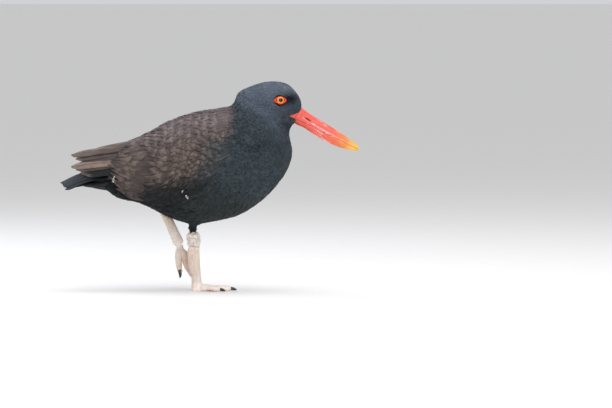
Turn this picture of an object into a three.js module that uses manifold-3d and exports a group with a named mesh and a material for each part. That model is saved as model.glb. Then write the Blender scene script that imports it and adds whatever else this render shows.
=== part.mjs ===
// A blackish oystercatcher, life size, standing on its right foot with the left one lifted.
// Millimetres. +X points the way the bird faces, +Y to its left, +Z up.
// The origin is on the floor, under the ankle of the standing foot.
import * as THREE from "three";
import { mergeVertices } from "three/addons/utils/BufferGeometryUtils.js";
import Module from "manifold-3d";

const wasm = await Module();
wasm.setup();

const gap = 0.3; // clearance between pieces that touch
const squareness = 0.88; // under 1 makes a section fuller than an ellipse

const degrees = THREE.MathUtils.degToRad;
const mix = THREE.MathUtils.lerp;
const vec = (x, y, z) => new THREE.Vector3(x, y, z);
const steps = (count) => Array.from({ length: count + 1 }, (_, i) => i / count);
const power = (value, exponent) => Math.sign(value) * Math.abs(value) ** exponent;
const sides = { left: 1, right: -1 };

const colours = {
  slate: { color: "#2b3036", roughness: 0.85, metalness: 0 },
  umber: { color: "#4a3f3a", roughness: 0.8, metalness: 0 },
  tailBlack: { color: "#1b2027", roughness: 0.75, metalness: 0 },
  vermilion: { color: "#f0453a", roughness: 0.3, metalness: 0 },
  iris: { color: "#f2b01e", roughness: 0.08, metalness: 0 },
  legPink: { color: "#e9d6cb", roughness: 0.6, metalness: 0 },
  claw: { color: "#4b4240", roughness: 0.5, metalness: 0 },
};

// Solids: a loft through rings of points, and the closed meshes that booleans join and cut.

function loft(rings) {
  const around = rings[0].length;
  const points = rings.flat();
  const faces = [];
  for (let i = 0; i + 1 < rings.length; i++)
    for (let j = 0; j < around; j++) {
      const a = i * around + j;
      const b = i * around + ((j + 1) % around);
      faces.push([a, b, b + around], [a, b + around, a + around]);
    }
  for (const end of [0, rings.length - 1]) {
    const middle = points.length;
    const sum = rings[end].reduce((total, p) => total.add(p), vec(0, 0, 0));
    points.push(sum.divideScalar(around));
    for (let j = 0; j < around; j++) {
      const pair = [end * around + j, end * around + ((j + 1) % around)];
      faces.push(end ? [...pair, middle] : [pair[1], pair[0], middle]);
    }
  }
  return facingOut(points, faces);
}

function facingOut(points, faces) {
  const volume = faces.reduce(
    (sum, [a, b, c]) => sum + points[a].dot(points[b].clone().cross(points[c])),
    0,
  );
  const turned = volume < 0 ? faces.map(([a, b, c]) => [a, c, b]) : faces;
  return new THREE.BufferGeometry().setFromPoints(points).setIndex(turned.flat());
}

function solid(geometry) {
  const bare = geometry.clone();
  bare.deleteAttribute("normal");
  bare.deleteAttribute("uv");
  const merged = mergeVertices(bare, 1e-4);
  return new wasm.Manifold(
    new wasm.Mesh({
      numProp: 3,
      vertProperties: new Float32Array(merged.attributes.position.array),
      triVerts: new Uint32Array(merged.index.array),
    }),
  );
}

// A repeatable random draw.
function seeded(seed) {
  let state = seed;
  return () => {
    state = (state * 16807) % 2147483647;
    return state / 2147483647;
  };
}

const joined = (solids) => solids.reduce((sum, next) => sum.add(next));
const largest = (whole) => whole.decompose().sort((a, b) => b.volume() - a.volume())[0];

function mesh(name, finish, shape) {
  const { numProp, vertProperties, triVerts } = largest(shape).getMesh();
  const geometry = new THREE.BufferGeometry();
  geometry.setAttribute("position", new THREE.BufferAttribute(vertProperties, numProp));
  geometry.setIndex(new THREE.BufferAttribute(triVerts, 1));
  geometry.computeVertexNormals();
  const made = new THREE.Mesh(geometry, new THREE.MeshStandardMaterial(colours[finish]));
  made.name = name;
  return made;
}

// Body: sections that fan from the rump to the forehead. Each runs from a point of the lower outline
// to one of the upper outline, and has a half width.

const bodyStations = [
  { place: "tail root", upper: [-113, 145], lower: [-113, 123], half: 11 },
  { place: "rump", upper: [-94, 161], lower: [-94, 110], half: 24 },
  { place: "vent", upper: [-70, 181], lower: [-72, 105.5], half: 36 },
  { place: "loin", upper: [-48, 198], lower: [-52, 96.5], half: 45 },
  { place: "rear belly", upper: [-26, 208.5], lower: [-28, 85], half: 50.5 },
  { place: "belly", upper: [-2, 216], lower: [-2, 79], half: 53 },
  { place: "keel", upper: [19, 219.5], lower: [24, 83], half: 53.5 },
  { place: "mantle", upper: [33.5, 222], lower: [50, 89.5], half: 51 },
  { place: "low breast", upper: [40, 223.5], lower: [75, 104.5], half: 47 },
  { place: "breast", upper: [42.5, 225.5], lower: [95, 124], half: 42 },
  { place: "high breast", upper: [44.5, 229], lower: [110, 147.5], half: 36.5 },
  { place: "crop", upper: [46, 233], lower: [115, 167], half: 32 },
  { place: "throat", upper: [48.5, 238.5], lower: [111.5, 185], half: 28.5 },
  { place: "nape", upper: [55, 243], lower: [111.5, 193], half: 25.5 },
  { place: "hind crown", upper: [65, 246.5], lower: [114, 197.5], half: 24 },
  { place: "crown", upper: [80, 251], lower: [116, 199.5], half: 22.5 },
  { place: "brow", upper: [95, 252], lower: [117.5, 200.5], half: 20.5 },
  { place: "front of the eye", upper: [108.5, 249], lower: [118.5, 201], half: 17.5 },
  { place: "forehead", upper: [119, 239], lower: [119.5, 201.5], half: 13.5 },
  { place: "lores", upper: [124.5, 230], lower: [120, 201.5], half: 10 },
  { place: "bill root", upper: [126.5, 220], lower: [120.5, 203], half: 6.8 },
];
const stationOf = (place) => bodyStations.findIndex((station) => station.place === place);
const lastStation = bodyStations.length - 1;
const upperLine = new THREE.CatmullRomCurve3(
  bodyStations.map(({ upper: [x, z] }) => vec(x, 0, z)),
);
const lowerLine = new THREE.CatmullRomCurve3(
  bodyStations.map(({ lower: [x, z] }) => vec(x, 0, z)),
);
const widthLine = new THREE.CatmullRomCurve3(bodyStations.map(({ half }) => vec(half, 0, 0)));

function bodyPoint(station, angle, grow = 0) {
  const at = THREE.MathUtils.clamp(station / lastStation, 0, 1);
  const upper = upperLine.getPoint(at);
  const lower = lowerLine.getPoint(at);
  const arm = upper.clone().sub(lower).multiplyScalar(0.5);
  arm.setLength(arm.length() + grow);
  const half = widthLine.getPoint(at).x + grow;
  return upper
    .add(lower)
    .multiplyScalar(0.5)
    .addScaledVector(arm, power(Math.cos(angle), squareness))
    .add(vec(0, half * power(Math.sin(angle), squareness), 0));
}

// The station at which this angle of the body lies a distance ahead of a station's plane.
function stationAhead(station, angle, distance) {
  const chord = bodyPoint(station, 0).sub(bodyPoint(station, Math.PI));
  const ahead = vec(0, 1, 0).cross(chord).normalize();
  const step = 0.1;
  const travel = bodyPoint(station + step, angle).sub(bodyPoint(station, angle)).dot(ahead);
  return station + (distance * step) / travel;
}

// One length of the body, between two stations. It can start clear of the first one's plane.
function bodyLength(from, to, rings, around, { grow = 0, clear = 0 } = {}) {
  const turns = steps(around).slice(1);
  return solid(
    loft(
      steps(rings).map((t) =>
        turns.map((turn) => {
          const angle = 2 * Math.PI * turn;
          const start = clear ? stationAhead(from, angle, clear) : from;
          return bodyPoint(mix(start, to, t), angle, grow);
        }),
      ),
    ),
  );
}

// Where a line along Y through (x, z) leaves the body: the station, the angle and the half width.
function bodySide(x, z) {
  let low = 0;
  let high = lastStation;
  for (let i = 0; i < 40; i++) {
    const middle = (low + high) / 2;
    const upper = upperLine.getPoint(middle / lastStation);
    const lower = lowerLine.getPoint(middle / lastStation);
    const ahead = (upper.z - lower.z) * (x - lower.x) - (upper.x - lower.x) * (z - lower.z) > 0;
    [low, high] = ahead ? [middle, high] : [low, middle];
  }
  const upper = upperLine.getPoint(low / lastStation);
  const lower = lowerLine.getPoint(low / lastStation);
  const share = (2 * (z - lower.z)) / (upper.z - lower.z) - 1;
  const angle = Math.acos(power(THREE.MathUtils.clamp(share, -1, 1), 1 / squareness));
  return bodyPoint(low, angle).y;
}

const neckFrom = stationOf("breast");
const headFrom = stationOf("nape") + 0.3;
const bodyAround = 28; // sides of every ring of the body
const torsoLength = (grow) => bodyLength(0, neckFrom, 20, bodyAround, { grow });

// Bill: two mandibles, each lofted between an outline and the line where they meet.

const billStations = [
  { x: 113, culmen: 226, meet: 210, keel: 202, half: 5.6 },
  { x: 121, culmen: 222.5, meet: 208.3, keel: 198.8, half: 6 },
  { x: 127.8, culmen: 218.4, meet: 204.6, keel: 196, half: 5.8 },
  { x: 135.6, culmen: 212.6, meet: 199.8, keel: 190.8, half: 5.2 },
  { x: 147.6, culmen: 205.2, meet: 194, keel: 183, half: 4.4 },
  { x: 159.6, culmen: 198, meet: 187.4, keel: 177, half: 3.7 },
  { x: 171.6, culmen: 190.2, meet: 180.2, keel: 172.2, half: 3 },
  { x: 183.6, culmen: 181.8, meet: 174, keel: 169.2, half: 2.3 },
  { x: 190.5, culmen: 177, meet: 171.2, keel: 168, half: 1.8 },
  { x: 194.6, culmen: 173, meet: 170.2, keel: 168.6, half: 1.1 },
];

function mandible(edge, sense, grow = 0) {
  const arc = steps(8).map((t) => degrees(mix(-90, 90, t)));
  return solid(
    loft(
      billStations.map((station, i) => {
        const end = i === billStations.length - 1 ? grow : 0;
        const from = station.meet + (sense * gap) / 2 - sense * grow;
        const tall = station[edge] + sense * grow - from;
        return arc.map((a) =>
          vec(
            station.x + end,
            (station.half + grow) * Math.sin(a),
            from + tall * Math.max(Math.cos(a), 0) ** 0.75,
          ),
        );
      }),
    ),
  );
}

const nostril = { x: 133, z: 206.6, length: 8, half: 0.6, pitch: 31, depth: 1.6 };

function nostrilSlit(side) {
  const slit = new THREE.CapsuleGeometry(nostril.half, nostril.length, 3, 8);
  slit.rotateZ(degrees(90));
  slit.rotateY(degrees(nostril.pitch));
  slit.scale(1, nostril.depth / nostril.half, 1);
  slit.translate(nostril.x, side * 5.2, nostril.z);
  return solid(slit);
}

// The corners of the mouth: a flange on both mandibles that shows through the feathers of the face.
const gape = { x: 119.5, z: 208.8, long: 9, wide: 10.2, tall: 4.2, pitch: 9 };

function gapeFlange(sense, grow = 0) {
  const flange = new THREE.SphereGeometry(1, 14, 6);
  flange.scale(gape.long + grow, gape.wide + grow, gape.tall + grow);
  flange.rotateY(degrees(gape.pitch));
  flange.translate(gape.x, 0, gape.z);
  const half = new THREE.BoxGeometry(60, 60, 20);
  half.rotateY(degrees(gape.pitch));
  const shift = (gap / 2 - grow + 10) * sense;
  half.translate(gape.x, 0, gape.z + shift);
  return solid(flange).intersect(solid(half));
}

function billParts() {
  const slits = Object.values(sides).map(nostrilSlit);
  const upper = mandible("culmen", 1).add(gapeFlange(1).subtract(mandible("keel", -1, gap)));
  return {
    bill_upper: slits.reduce((bill, slit) => bill.subtract(slit), upper),
    bill_lower: mandible("keel", -1).add(gapeFlange(-1).subtract(mandible("culmen", 1, gap))),
  };
}
const billRoom = joined([
  mandible("culmen", 1, gap),
  mandible("keel", -1, gap),
  gapeFlange(1, gap),
  gapeFlange(-1, gap),
]);

// Eyes: a ball in a socket, with a bare ring of lid that is longer than tall.

const eye = { x: 100.2, z: 229.3, radius: 6.2, sunk: 4.2 };
const lid = { long: 5.6, tall: 3.95, corner: 1.3, half: 1.05, thick: 1.1 };
const eyeTilt = { yaw: 14, pitch: -9 }; // the eye looks a little forward and up

function eyeFrame(side) {
  const y = bodySide(eye.x, eye.z);
  return new THREE.Matrix4()
    .makeTranslation(eye.x, side * y, eye.z)
    .multiply(new THREE.Matrix4().makeRotationZ(degrees(-side * eyeTilt.yaw)))
    .multiply(new THREE.Matrix4().makeRotationX(degrees(-side * eyeTilt.pitch)))
    .multiply(new THREE.Matrix4().makeScale(1, side, 1));
}

function eyeBall(side, grow = 0) {
  const ball = new THREE.IcosahedronGeometry(eye.radius + grow, 2);
  ball.translate(0, -eye.sunk, 0);
  return solid(facing(ball.applyMatrix4(eyeFrame(side)), side));
}

function facing(geometry, side) {
  if (side > 0) return geometry;
  const indexed = mergeVertices(stripped(geometry), 1e-4);
  const index = Array.from(indexed.index.array);
  for (let i = 0; i < index.length; i += 3) index.splice(i + 1, 2, index[i + 2], index[i + 1]);
  return indexed.setIndex(index);
}

function stripped(geometry) {
  geometry.deleteAttribute("normal");
  geometry.deleteAttribute("uv");
  return geometry;
}

function eyeLid(side, grow = 0) {
  const frame = eyeFrame(side);
  const ring = steps(18).slice(1);
  const tube = steps(5).slice(1);
  const points = ring.flatMap((turn) => {
    const a = 2 * Math.PI * turn;
    const point = Math.abs(Math.cos(a)) ** 6; // the lid draws out to a corner at each end
    const half = lid.half + point * 0.5 + grow;
    const out = lid.long + point * lid.corner;
    return tube.map((round) => {
      const b = 2 * Math.PI * round;
      const reach = half * Math.cos(b);
      return vec(
        Math.cos(a) * (out + reach),
        (lid.thick + grow) * Math.sin(b) - 0.35 - point * 0.6,
        Math.sin(a) * (lid.tall + reach),
      ).applyMatrix4(frame);
    });
  });
  const faces = [];
  const across = tube.length;
  for (let i = 0; i < ring.length; i++)
    for (let j = 0; j < across; j++) {
      const next = ((i + 1) % ring.length) * across;
      const [a, b] = [i * across + j, i * across + ((j + 1) % across)];
      const [c, d] = [next + ((j + 1) % across), next + j];
      faces.push([a, b, c], [a, c, d]);
    }
  return solid(facingOut(points, faces));
}

function headPart() {
  const skull = bodyLength(headFrom, lastStation, 14, bodyAround, { clear: gap });
  const sockets = Object.values(sides).flatMap((side) => [
    eyeBall(side, gap),
    eyeLid(side, gap),
  ]);
  return [...sockets, billRoom].reduce((head, room) => head.subtract(room), skull);
}

// Wings: plates that follow a form just outside the body, then run back past the rump to the tips.

const wingStations = [
  { x: 41, middle: 155, tall: 67.4, wide: 51.8 },
  { x: 14, middle: 149, tall: 69.9, wide: 55.7 },
  { x: -12, middle: 146.3, tall: 67.8, wide: 56.3 },
  { x: -40, middle: 137.5, tall: 64.5, wide: 53 },
  { x: -70, middle: 134, tall: 50.5, wide: 45.5 },
  { x: -88, middle: 135.5, tall: 42.5, wide: 38 },
  { x: -103, middle: 143, tall: 31.5, wide: 30 },
  { x: -118, middle: 152.5, tall: 18, wide: 21 },
  { x: -150, middle: 157, tall: 8.5, wide: 11 },
];

// The form's section at x, by a smooth curve through the stations.
function wingSection(x) {
  const curve = new THREE.CatmullRomCurve3(
    wingStations.map((s) => vec(s.middle, s.tall, s.wide)),
  );
  const inside = THREE.MathUtils.clamp(x, wingStations.at(-1).x, wingStations[0].x);
  const i = Math.max(
    wingStations.findIndex((s) => s.x <= inside),
    1,
  );
  const share = (wingStations[i - 1].x - inside) / (wingStations[i - 1].x - wingStations[i].x);
  const { x: middle, y: tall, z: wide } = curve.getPoint((i - 1 + share) / (wingStations.length - 1));
  return { middle, tall, wide };
}

function wingPoint(side, x, angle, lift) {
  const { middle, tall, wide } = wingSection(x);
  return vec(
    x,
    side * Math.max((wide + lift) * power(Math.sin(angle), squareness), gap),
    middle + (tall + lift) * power(Math.cos(angle), squareness),
  );
}

const wingEdge = { top: degrees(24), bottom: degrees(117), rear: -117, rearSweep: 12 };
const wingFront = { x: 42, sweep: 52, from: 0.45, bend: 1.8 }; // the edge sweeps back low down
const seamOpens = { from: -30, to: -74 }; // the wings part over the mantle and meet behind it

// A place on the folded wing: a runs from its front edge to its rear one, b from back to belly.
function onWing(side, a, b, lift) {
  const below = Math.max(0, (b - wingFront.from) / (1 - wingFront.from));
  const front = wingFront.x - wingFront.sweep * below ** wingFront.bend;
  const rear = wingEdge.rear + wingEdge.rearSweep * b ** 2;
  const x = mix(front, rear, a);
  const closed = THREE.MathUtils.smoothstep(-x, -seamOpens.from, -seamOpens.to);
  return wingPoint(side, x, mix(wingEdge.top * (1 - closed), wingEdge.bottom, b), lift);
}

function wingCore(side) {
  const layer = (inner) =>
    steps(11).map((a) =>
      steps(7).map((b) => {
        const edge = Math.min(a, 1 - a, b, 1 - b);
        const depth = mix(-9, -3, THREE.MathUtils.smoothstep(a, 0.72, 0.9));
        return onWing(side, a, b, inner ? depth : mix(-0.6, 0.4, Math.min(edge / 0.1, 1)));
      }),
    );
  return closedSheet(layer(false), layer(true));
}

// Rows of the folded wing. Each begins at "a", spans "b" and has vanes this long and half this wide,
// as shares of the wing, whose tips rise over the roots of the row behind.
const wingRows = [
  { name: "scapulars", a: 0.01, b: [0.06, 0.3], count: 3, long: 0.2, half: 0.09, rise: 1.4 },
  { name: "scapulars", a: 0.12, b: [0.05, 0.33], count: 3, long: 0.23, half: 0.09, rise: 1.6 },
  { name: "scapulars", a: 0.25, b: [0.05, 0.36], count: 3, long: 0.25, half: 0.1, rise: 1.8 },
  { name: "scapulars", a: 0.4, b: [0.06, 0.36], count: 3, long: 0.26, half: 0.1, rise: 1.9 },
  { name: "lesser coverts", a: 0, b: [0.44, 0.88], count: 3, long: 0.18, half: 0.085, rise: 1.2 },
  { name: "lesser coverts", a: 0.1, b: [0.46, 0.94], count: 4, long: 0.18, half: 0.07, rise: 1.4 },
  { name: "median coverts", a: 0.2, b: [0.42, 0.93], count: 5, long: 0.21, half: 0.07, rise: 1.6 },
  { name: "greater coverts", a: 0.33, b: [0.43, 0.93], count: 5, long: 0.28, half: 0.07, rise: 1.7 },
  { name: "secondaries", a: 0.52, b: [0.48, 0.93], count: 4, long: 0.4, half: 0.08, rise: 1.5 },
  { name: "tertials", a: 0.56, b: [0.1, 0.4], count: 3, long: 0.42, half: 0.09, rise: 1.6 },
];
const vaneRoot = -0.7; // how deep a row's roots lie in the wing

function wingVane(side, { a, b, long, half, rise }) {
  const lengths = long > 0.3 ? 3 : 2;
  const layer = (inner) =>
    steps(lengths).map((u) =>
      steps(3).map((t) => {
        const v = 2 * t - 1;
        const wide = half * (0.72 + 0.5 * u - 0.42 * u ** 4);
        const along = long * (u - 0.16 * v * v * u ** 2);
        const lift = mix(vaneRoot, rise, u) - 0.5 * v * v - 0.35 * v;
        return onWing(side, a + along, b + wide * v, inner ? -2.2 : lift);
      }),
    );
  return closedSheet(layer(false), layer(true));
}

// A closed body between two grids of the same size, alike on both faces.
function closedSheet(front, back) {
  const rows = front.length;
  const columns = front[0].length;
  const points = [...front.flat(), ...back.flat()];
  const at = (i, j, behind) => (behind ? rows * columns : 0) + i * columns + j;
  const faces = [];
  for (let i = 0; i + 1 < rows; i++)
    for (let j = 0; j + 1 < columns; j++)
      for (const behind of [false, true]) {
        const [a, b] = [at(i, j, behind), at(i + 1, j, behind)];
        const [c, d] = [at(i + 1, j + 1, behind), at(i, j + 1, behind)];
        faces.push(...(behind ? [[a, c, b], [a, d, c]] : [[a, b, c], [a, c, d]]));
      }
  const rim = [
    ...steps(rows - 1).map((t) => [Math.round(t * (rows - 1)), 0]),
    ...steps(columns - 1).slice(1).map((t) => [rows - 1, Math.round(t * (columns - 1))]),
    ...steps(rows - 1).slice(1).map((t) => [rows - 1 - Math.round(t * (rows - 1)), columns - 1]),
    ...steps(columns - 1).slice(1, -1).map((t) => [0, columns - 1 - Math.round(t * (columns - 1))]),
  ];
  rim.forEach(([i, j], k) => {
    const [m, n] = rim[(k + 1) % rim.length];
    faces.push([at(i, j), at(i, j, true), at(m, n, true)], [at(i, j), at(m, n, true), at(m, n)]);
  });
  return solid(facingOut(points, faces));
}

// A flight feather: a thin cambered vane from root to tip. Its flat lies across "out".
function vane({ root, tip, out, half, thick = 0.9, bow = 0, camber = 1, along = 4, across = 2 }) {
  const axis = tip.clone().sub(root);
  const flat = out.clone().cross(axis).normalize();
  const up = axis.clone().cross(flat).normalize();
  const layer = (drop) =>
    steps(along).map((u) => {
      const width = half * Math.min(1, 0.55 + 1.5 * u) * Math.sqrt(Math.max(1 - u ** 5, 0.02));
      return steps(across).map((t) => {
        const v = 2 * t - 1;
        return root
          .clone()
          .addScaledVector(axis, u - 0.03 * v * v * (u > 0.9 ? 1 : 0))
          .addScaledVector(flat, width * v)
          .addScaledVector(up, bow * Math.sin(Math.PI * u) - camber * v * v - drop);
      });
    });
  return closedSheet(layer(0), layer(thick));
}

const tipFeathers = [
  { root: [-82, 21, 172], tip: [-151, 6.5, 163], out: [-0.1, 1, 0.9], half: 6.4 },
  { root: [-84, 26, 164], tip: [-138, 11.5, 155.5], out: [-0.1, 1, 0.8], half: 6 },
  { root: [-84, 31, 155], tip: [-150.5, 11.5, 149.5], out: [-0.08, 1, 0.7], half: 6.6 },
  { root: [-80, 35, 144], tip: [-139, 14.5, 142.5], out: [-0.05, 1, 0.45], half: 6.8 },
];

function wing(side) {
  const random = seeded(7);
  const jitter = (amount) => 1 + amount * (2 * random() - 1);
  const rows = wingRows.flatMap((row, i) =>
    steps(row.count - 1).map((share) => {
      const a = row.a + 0.012 * (2 * random() - 1) + 0.02 * (i % 2) * Math.sin(9 * share);
      const b = mix(row.b[0], row.b[1], share) + 0.006 * (2 * random() - 1);
      return wingVane(side, { ...row, a, b, long: row.long * jitter(0.08), rise: row.rise });
    }),
  );
  const tips = tipFeathers.map(({ root, tip, out, half }) =>
    vane({ root: handed(root, side), tip: handed(tip, side), out: handed(out, side), half, bow: 1.5 }),
  );
  const whole = joined([wingCore(side), ...rows, ...tips]);
  return whole.subtract(torsoLength(gap)).subtract(tailRoom());
}
const handed = ([x, y, z], side) => vec(x, side * y, z);

// Tail: twelve vanes in a roof, the middle pair on top, with coverts under their roots.

const tail = {
  pairs: 6,
  root: { x: -97, z: 146, spread: 1.5, drop: 8 },
  tip: { x: -163.5, z: 130, spread: 3.7, drop: 9, shorter: 7 },
  half: 6.2,
  bow: 5.5,
};
const underCoverts = { count: 5, root: [-88, 5, 123], tip: [-142, 5.4, 122.5], half: 7.5, thick: 1.6 };

function tailPart() {
  const vanes = [];
  for (let i = 0.5; i < tail.pairs; i++)
    for (const side of [1, -1]) {
      const outer = (i / tail.pairs) ** 2;
      const { root, tip } = tail;
      vanes.push(
        vane({
          root: vec(root.x, side * i * root.spread, root.z - root.drop * outer),
          tip: vec(tip.x + tip.shorter * outer, side * i * tip.spread, tip.z - tip.drop * outer),
          out: vec(0, side * 0.07 * i, 1),
          half: tail.half,
          bow: tail.bow,
          camber: 0.5,
        }),
      );
    }
  const { count, root, tip, half, thick } = underCoverts;
  for (const share of steps(count - 1)) {
    const v = (2 * share - 1) * ((count - 1) / 2);
    const climb = 1.1 * v * v;
    vanes.push(
      vane({
        root: vec(root[0], v * root[1], root[2] + climb),
        tip: vec(tip[0] + 2 * v * v, v * tip[1], tip[2] + climb),
        out: vec(0, 0.3 * v, -1),
        half,
        thick,
        bow: 1.5,
      }),
    );
  }
  const stem = limb(
    straight([-90, 0, 138], [-126, 0, 136]),
    [
      { at: 0, deep: 11, wide: 15 },
      { at: 0.5, deep: 7.5, wide: 12 },
      { at: 1, deep: 2.5, wide: 8 },
    ],
    14,
    vec(0, 0, 1),
  );
  return joined([stem, ...vanes]);
}

// The space about the tail that the wings leave free.
function tailRoom() {
  const layer = (up) =>
    steps(3).map((u) =>
      steps(4).map((t) => {
        const v = 2 * t - 1;
        const x = mix(-84, -172, u);
        const top = mix(151, 131, u) - 9 * v * v;
        return vec(x, mix(19, 27, u) * v, up ? top : top - 34);
      }),
    );
  return closedSheet(layer(true), layer(false));
}

// Legs: the standing one is straight under the body, and the lifted one hangs from a folded heel.

const legs = {
  right: { hip: [-4, -15, 96], heel: [-4.6, -9, 63.5], ankle: [0.6, 0, 0] },
  left: { heel: [-46.5, 13, 110], ankle: [-21.3, 11, 55] },
};
const tarsus = { deep: 5.8, wide: 4, heelDeep: 8.9, heelWide: 6, intoFloor: 4 };

// A limb along a path, with a half depth along "fore" and a half width across it.
function limb(path, sections, around = 12, fore = vec(1, 0, 0)) {
  return solid(
    loft(
      sections.map(({ at, deep, wide, shift = 0 }) => {
        const axis = path.getTangent(at);
        const across = axis.clone().cross(fore).normalize();
        const front = across.clone().cross(axis).normalize();
        const centre = path.getPoint(at).addScaledVector(front, shift);
        return steps(around)
          .slice(1)
          .map((turn) => {
            const a = 2 * Math.PI * turn;
            return centre
              .clone()
              .addScaledVector(front, deep * Math.cos(a))
              .addScaledVector(across, wide * Math.sin(a));
          });
      }),
    ),
  );
}
const straight = (from, to) => new THREE.LineCurve3(vec(...from), vec(...to));

function thighRight(grow = 0) {
  const { hip, heel } = legs.right;
  const knee = [heel[0], heel[1], heel[2] + 9];
  return limb(straight(hip, knee), [
    { at: 0, deep: 17 + grow, wide: 13 + grow },
    { at: 0.5, deep: 11 + grow, wide: 9 + grow },
    { at: 0.8, deep: 5.5 + grow, wide: 5 + grow },
    { at: 1, deep: 4 + grow, wide: 3.6 + grow },
  ]);
}

function tarsusRight(grow = 0) {
  const { heel, ankle } = legs.right;
  const top = [heel[0], heel[1], heel[2] + 8.5];
  const { deep, wide, heelDeep, heelWide, intoFloor } = tarsus;
  const foot = [ankle[0], ankle[1], -intoFloor]; // the floor cuts its sole flat
  return limb(straight(top, foot), [
    { at: 0, deep: 3.6 + grow, wide: 3.2 + grow },
    { at: 0.035, deep: heelDeep - 1.8 + grow, wide: heelWide - 1 + grow },
    { at: 0.1, deep: heelDeep + grow, wide: heelWide + grow },
    { at: 0.18, deep: heelDeep - 0.5 + grow, wide: heelWide - 0.3 + grow },
    { at: 0.24, deep: deep + 0.9 + grow, wide: wide + 0.5 + grow },
    { at: 0.32, deep: deep + 0.2 + grow, wide: wide + grow },
    { at: 0.6, deep: deep + grow, wide: wide - 0.1 + grow },
    { at: 0.82, deep: deep + 0.2 + grow, wide: wide + 0.3 + grow },
    { at: 0.92, deep: deep + 0.9 + grow, wide: wide + 1.4 + grow },
    { at: 1, deep: deep + 0.4 + grow, wide: wide + 1.2 + grow },
  ]);
}

function tarsusLeft(grow = 0) {
  const { heel, ankle } = legs.left;
  const { deep, wide } = tarsus;
  return limb(straight(heel, ankle), [
    { at: 0, deep: deep + 0.6 + grow, wide: wide + 0.6 + grow },
    { at: 0.4, deep: deep + grow, wide: wide + grow },
    { at: 0.8, deep: deep + 0.5 + grow, wide: wide + 0.2 + grow },
    { at: 0.95, deep: deep + 0.9 + grow, wide: wide + 1.2 + grow },
    { at: 1, deep: deep - 0.6 + grow, wide: wide + 0.6 + grow },
  ]);
}

// Toes: three on each foot. The standing ones lie along the floor with flat pads.

const toes = {
  inner: { length: 31, turn: 38, swing: -2, thick: 3.5, pads: 2 },
  middle: { length: 41, turn: 1, swing: 21, thick: 3.8, pads: 3 },
  outer: { length: 35, turn: -34, swing: -1, thick: 3.6, pads: 3 },
};
const clawLength = 6.5;

function standingPath({ length, turn }) {
  const aim = vec(Math.cos(degrees(turn)), Math.sin(degrees(turn)), 0);
  const along = (distance, height) => aim.clone().multiplyScalar(distance).setZ(height);
  return new THREE.CatmullRomCurve3([
    along(1, 4.8),
    along(length * 0.3, 3.9),
    along(length * 0.65, 3.3),
    along(length, 2.8),
  ]);
}

// On the lifted left foot the inner toe is the one on the bird's right.
function hangingPath({ length, turn, swing }) {
  const start = vec(...legs.left.ankle);
  const aim = vec(Math.tan(degrees(swing)), -Math.sin(degrees(turn)) * 0.32, -1).normalize();
  const at = (share, curl) => start.clone().addScaledVector(aim, length * share).add(vec(curl, 0, 0));
  return new THREE.CatmullRomCurve3([at(0.02, 0), at(0.35, -1), at(0.7, -0.6), at(1, 1.4)]);
}

function toe(shape, path, fore, flat) {
  const joints = shape.pads * 2;
  const rings = steps(joints).map((u) => {
    const swell = 1 + 0.09 * Math.cos(u * joints * Math.PI);
    const thick = shape.thick * mix(1, 0.72, u) * swell * (u > 0.99 ? 0.8 : 1);
    return { at: u, deep: thick, wide: thick * 0.92 };
  });
  const made = limb(path, rings, 8, fore);
  return flat ? made.intersect(aboveFloor) : made;
}
const aboveFloor = solid(new THREE.BoxGeometry(400, 400, 200).translate(0, 0, 100));

function claw(path, fore, size, flat) {
  const end = path.getPoint(1);
  const aim = path.getTangent(1);
  const down = fore.clone().negate();
  const curve = new THREE.QuadraticBezierCurve3(
    end.clone().addScaledVector(aim, -1.2),
    end.clone().addScaledVector(aim, clawLength * 0.55),
    end.clone().addScaledVector(aim, clawLength).addScaledVector(down, flat ? 1.4 : 2),
  );
  const made = limb(
    curve,
    [
      { at: 0, deep: size * 0.62, wide: size * 0.55 },
      { at: 0.35, deep: size * 0.6, wide: size * 0.5 },
      { at: 0.7, deep: size * 0.42, wide: size * 0.34 },
      { at: 1, deep: size * 0.14, wide: size * 0.12 },
    ],
    6,
    fore,
  );
  return flat ? made.intersect(aboveFloor) : made;
}

function foot(side) {
  const standing = side === "right";
  const pathOf = standing ? standingPath : hangingPath;
  const fore = standing ? vec(0, 0, 1) : vec(1, 0, 0);
  const shank = standing ? tarsusRight : tarsusLeft;
  const made = {};
  let taken = shank(gap);
  for (const [name, shape] of Object.entries(toes)) {
    const path = pathOf(shape);
    made[`claw_${side}_${name}`] = claw(path, fore, shape.thick, standing).subtract(taken);
    const tip = claw(path, fore, shape.thick + gap * 2, false);
    made[`toe_${side}_${name}`] = toe(shape, path, fore, standing).subtract(tip).subtract(taken);
    const grown = { ...shape, thick: shape.thick + gap };
    taken = taken.add(toe(grown, path, fore, false));
  }
  return made;
}

// Assembly.

const oystercatcher = new THREE.Group();
const place = (name, finish, shape) => oystercatcher.add(mesh(name, finish, shape));
const bare = (shape, ...rooms) => rooms.reduce((rest, room) => rest.subtract(room), shape);

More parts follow.
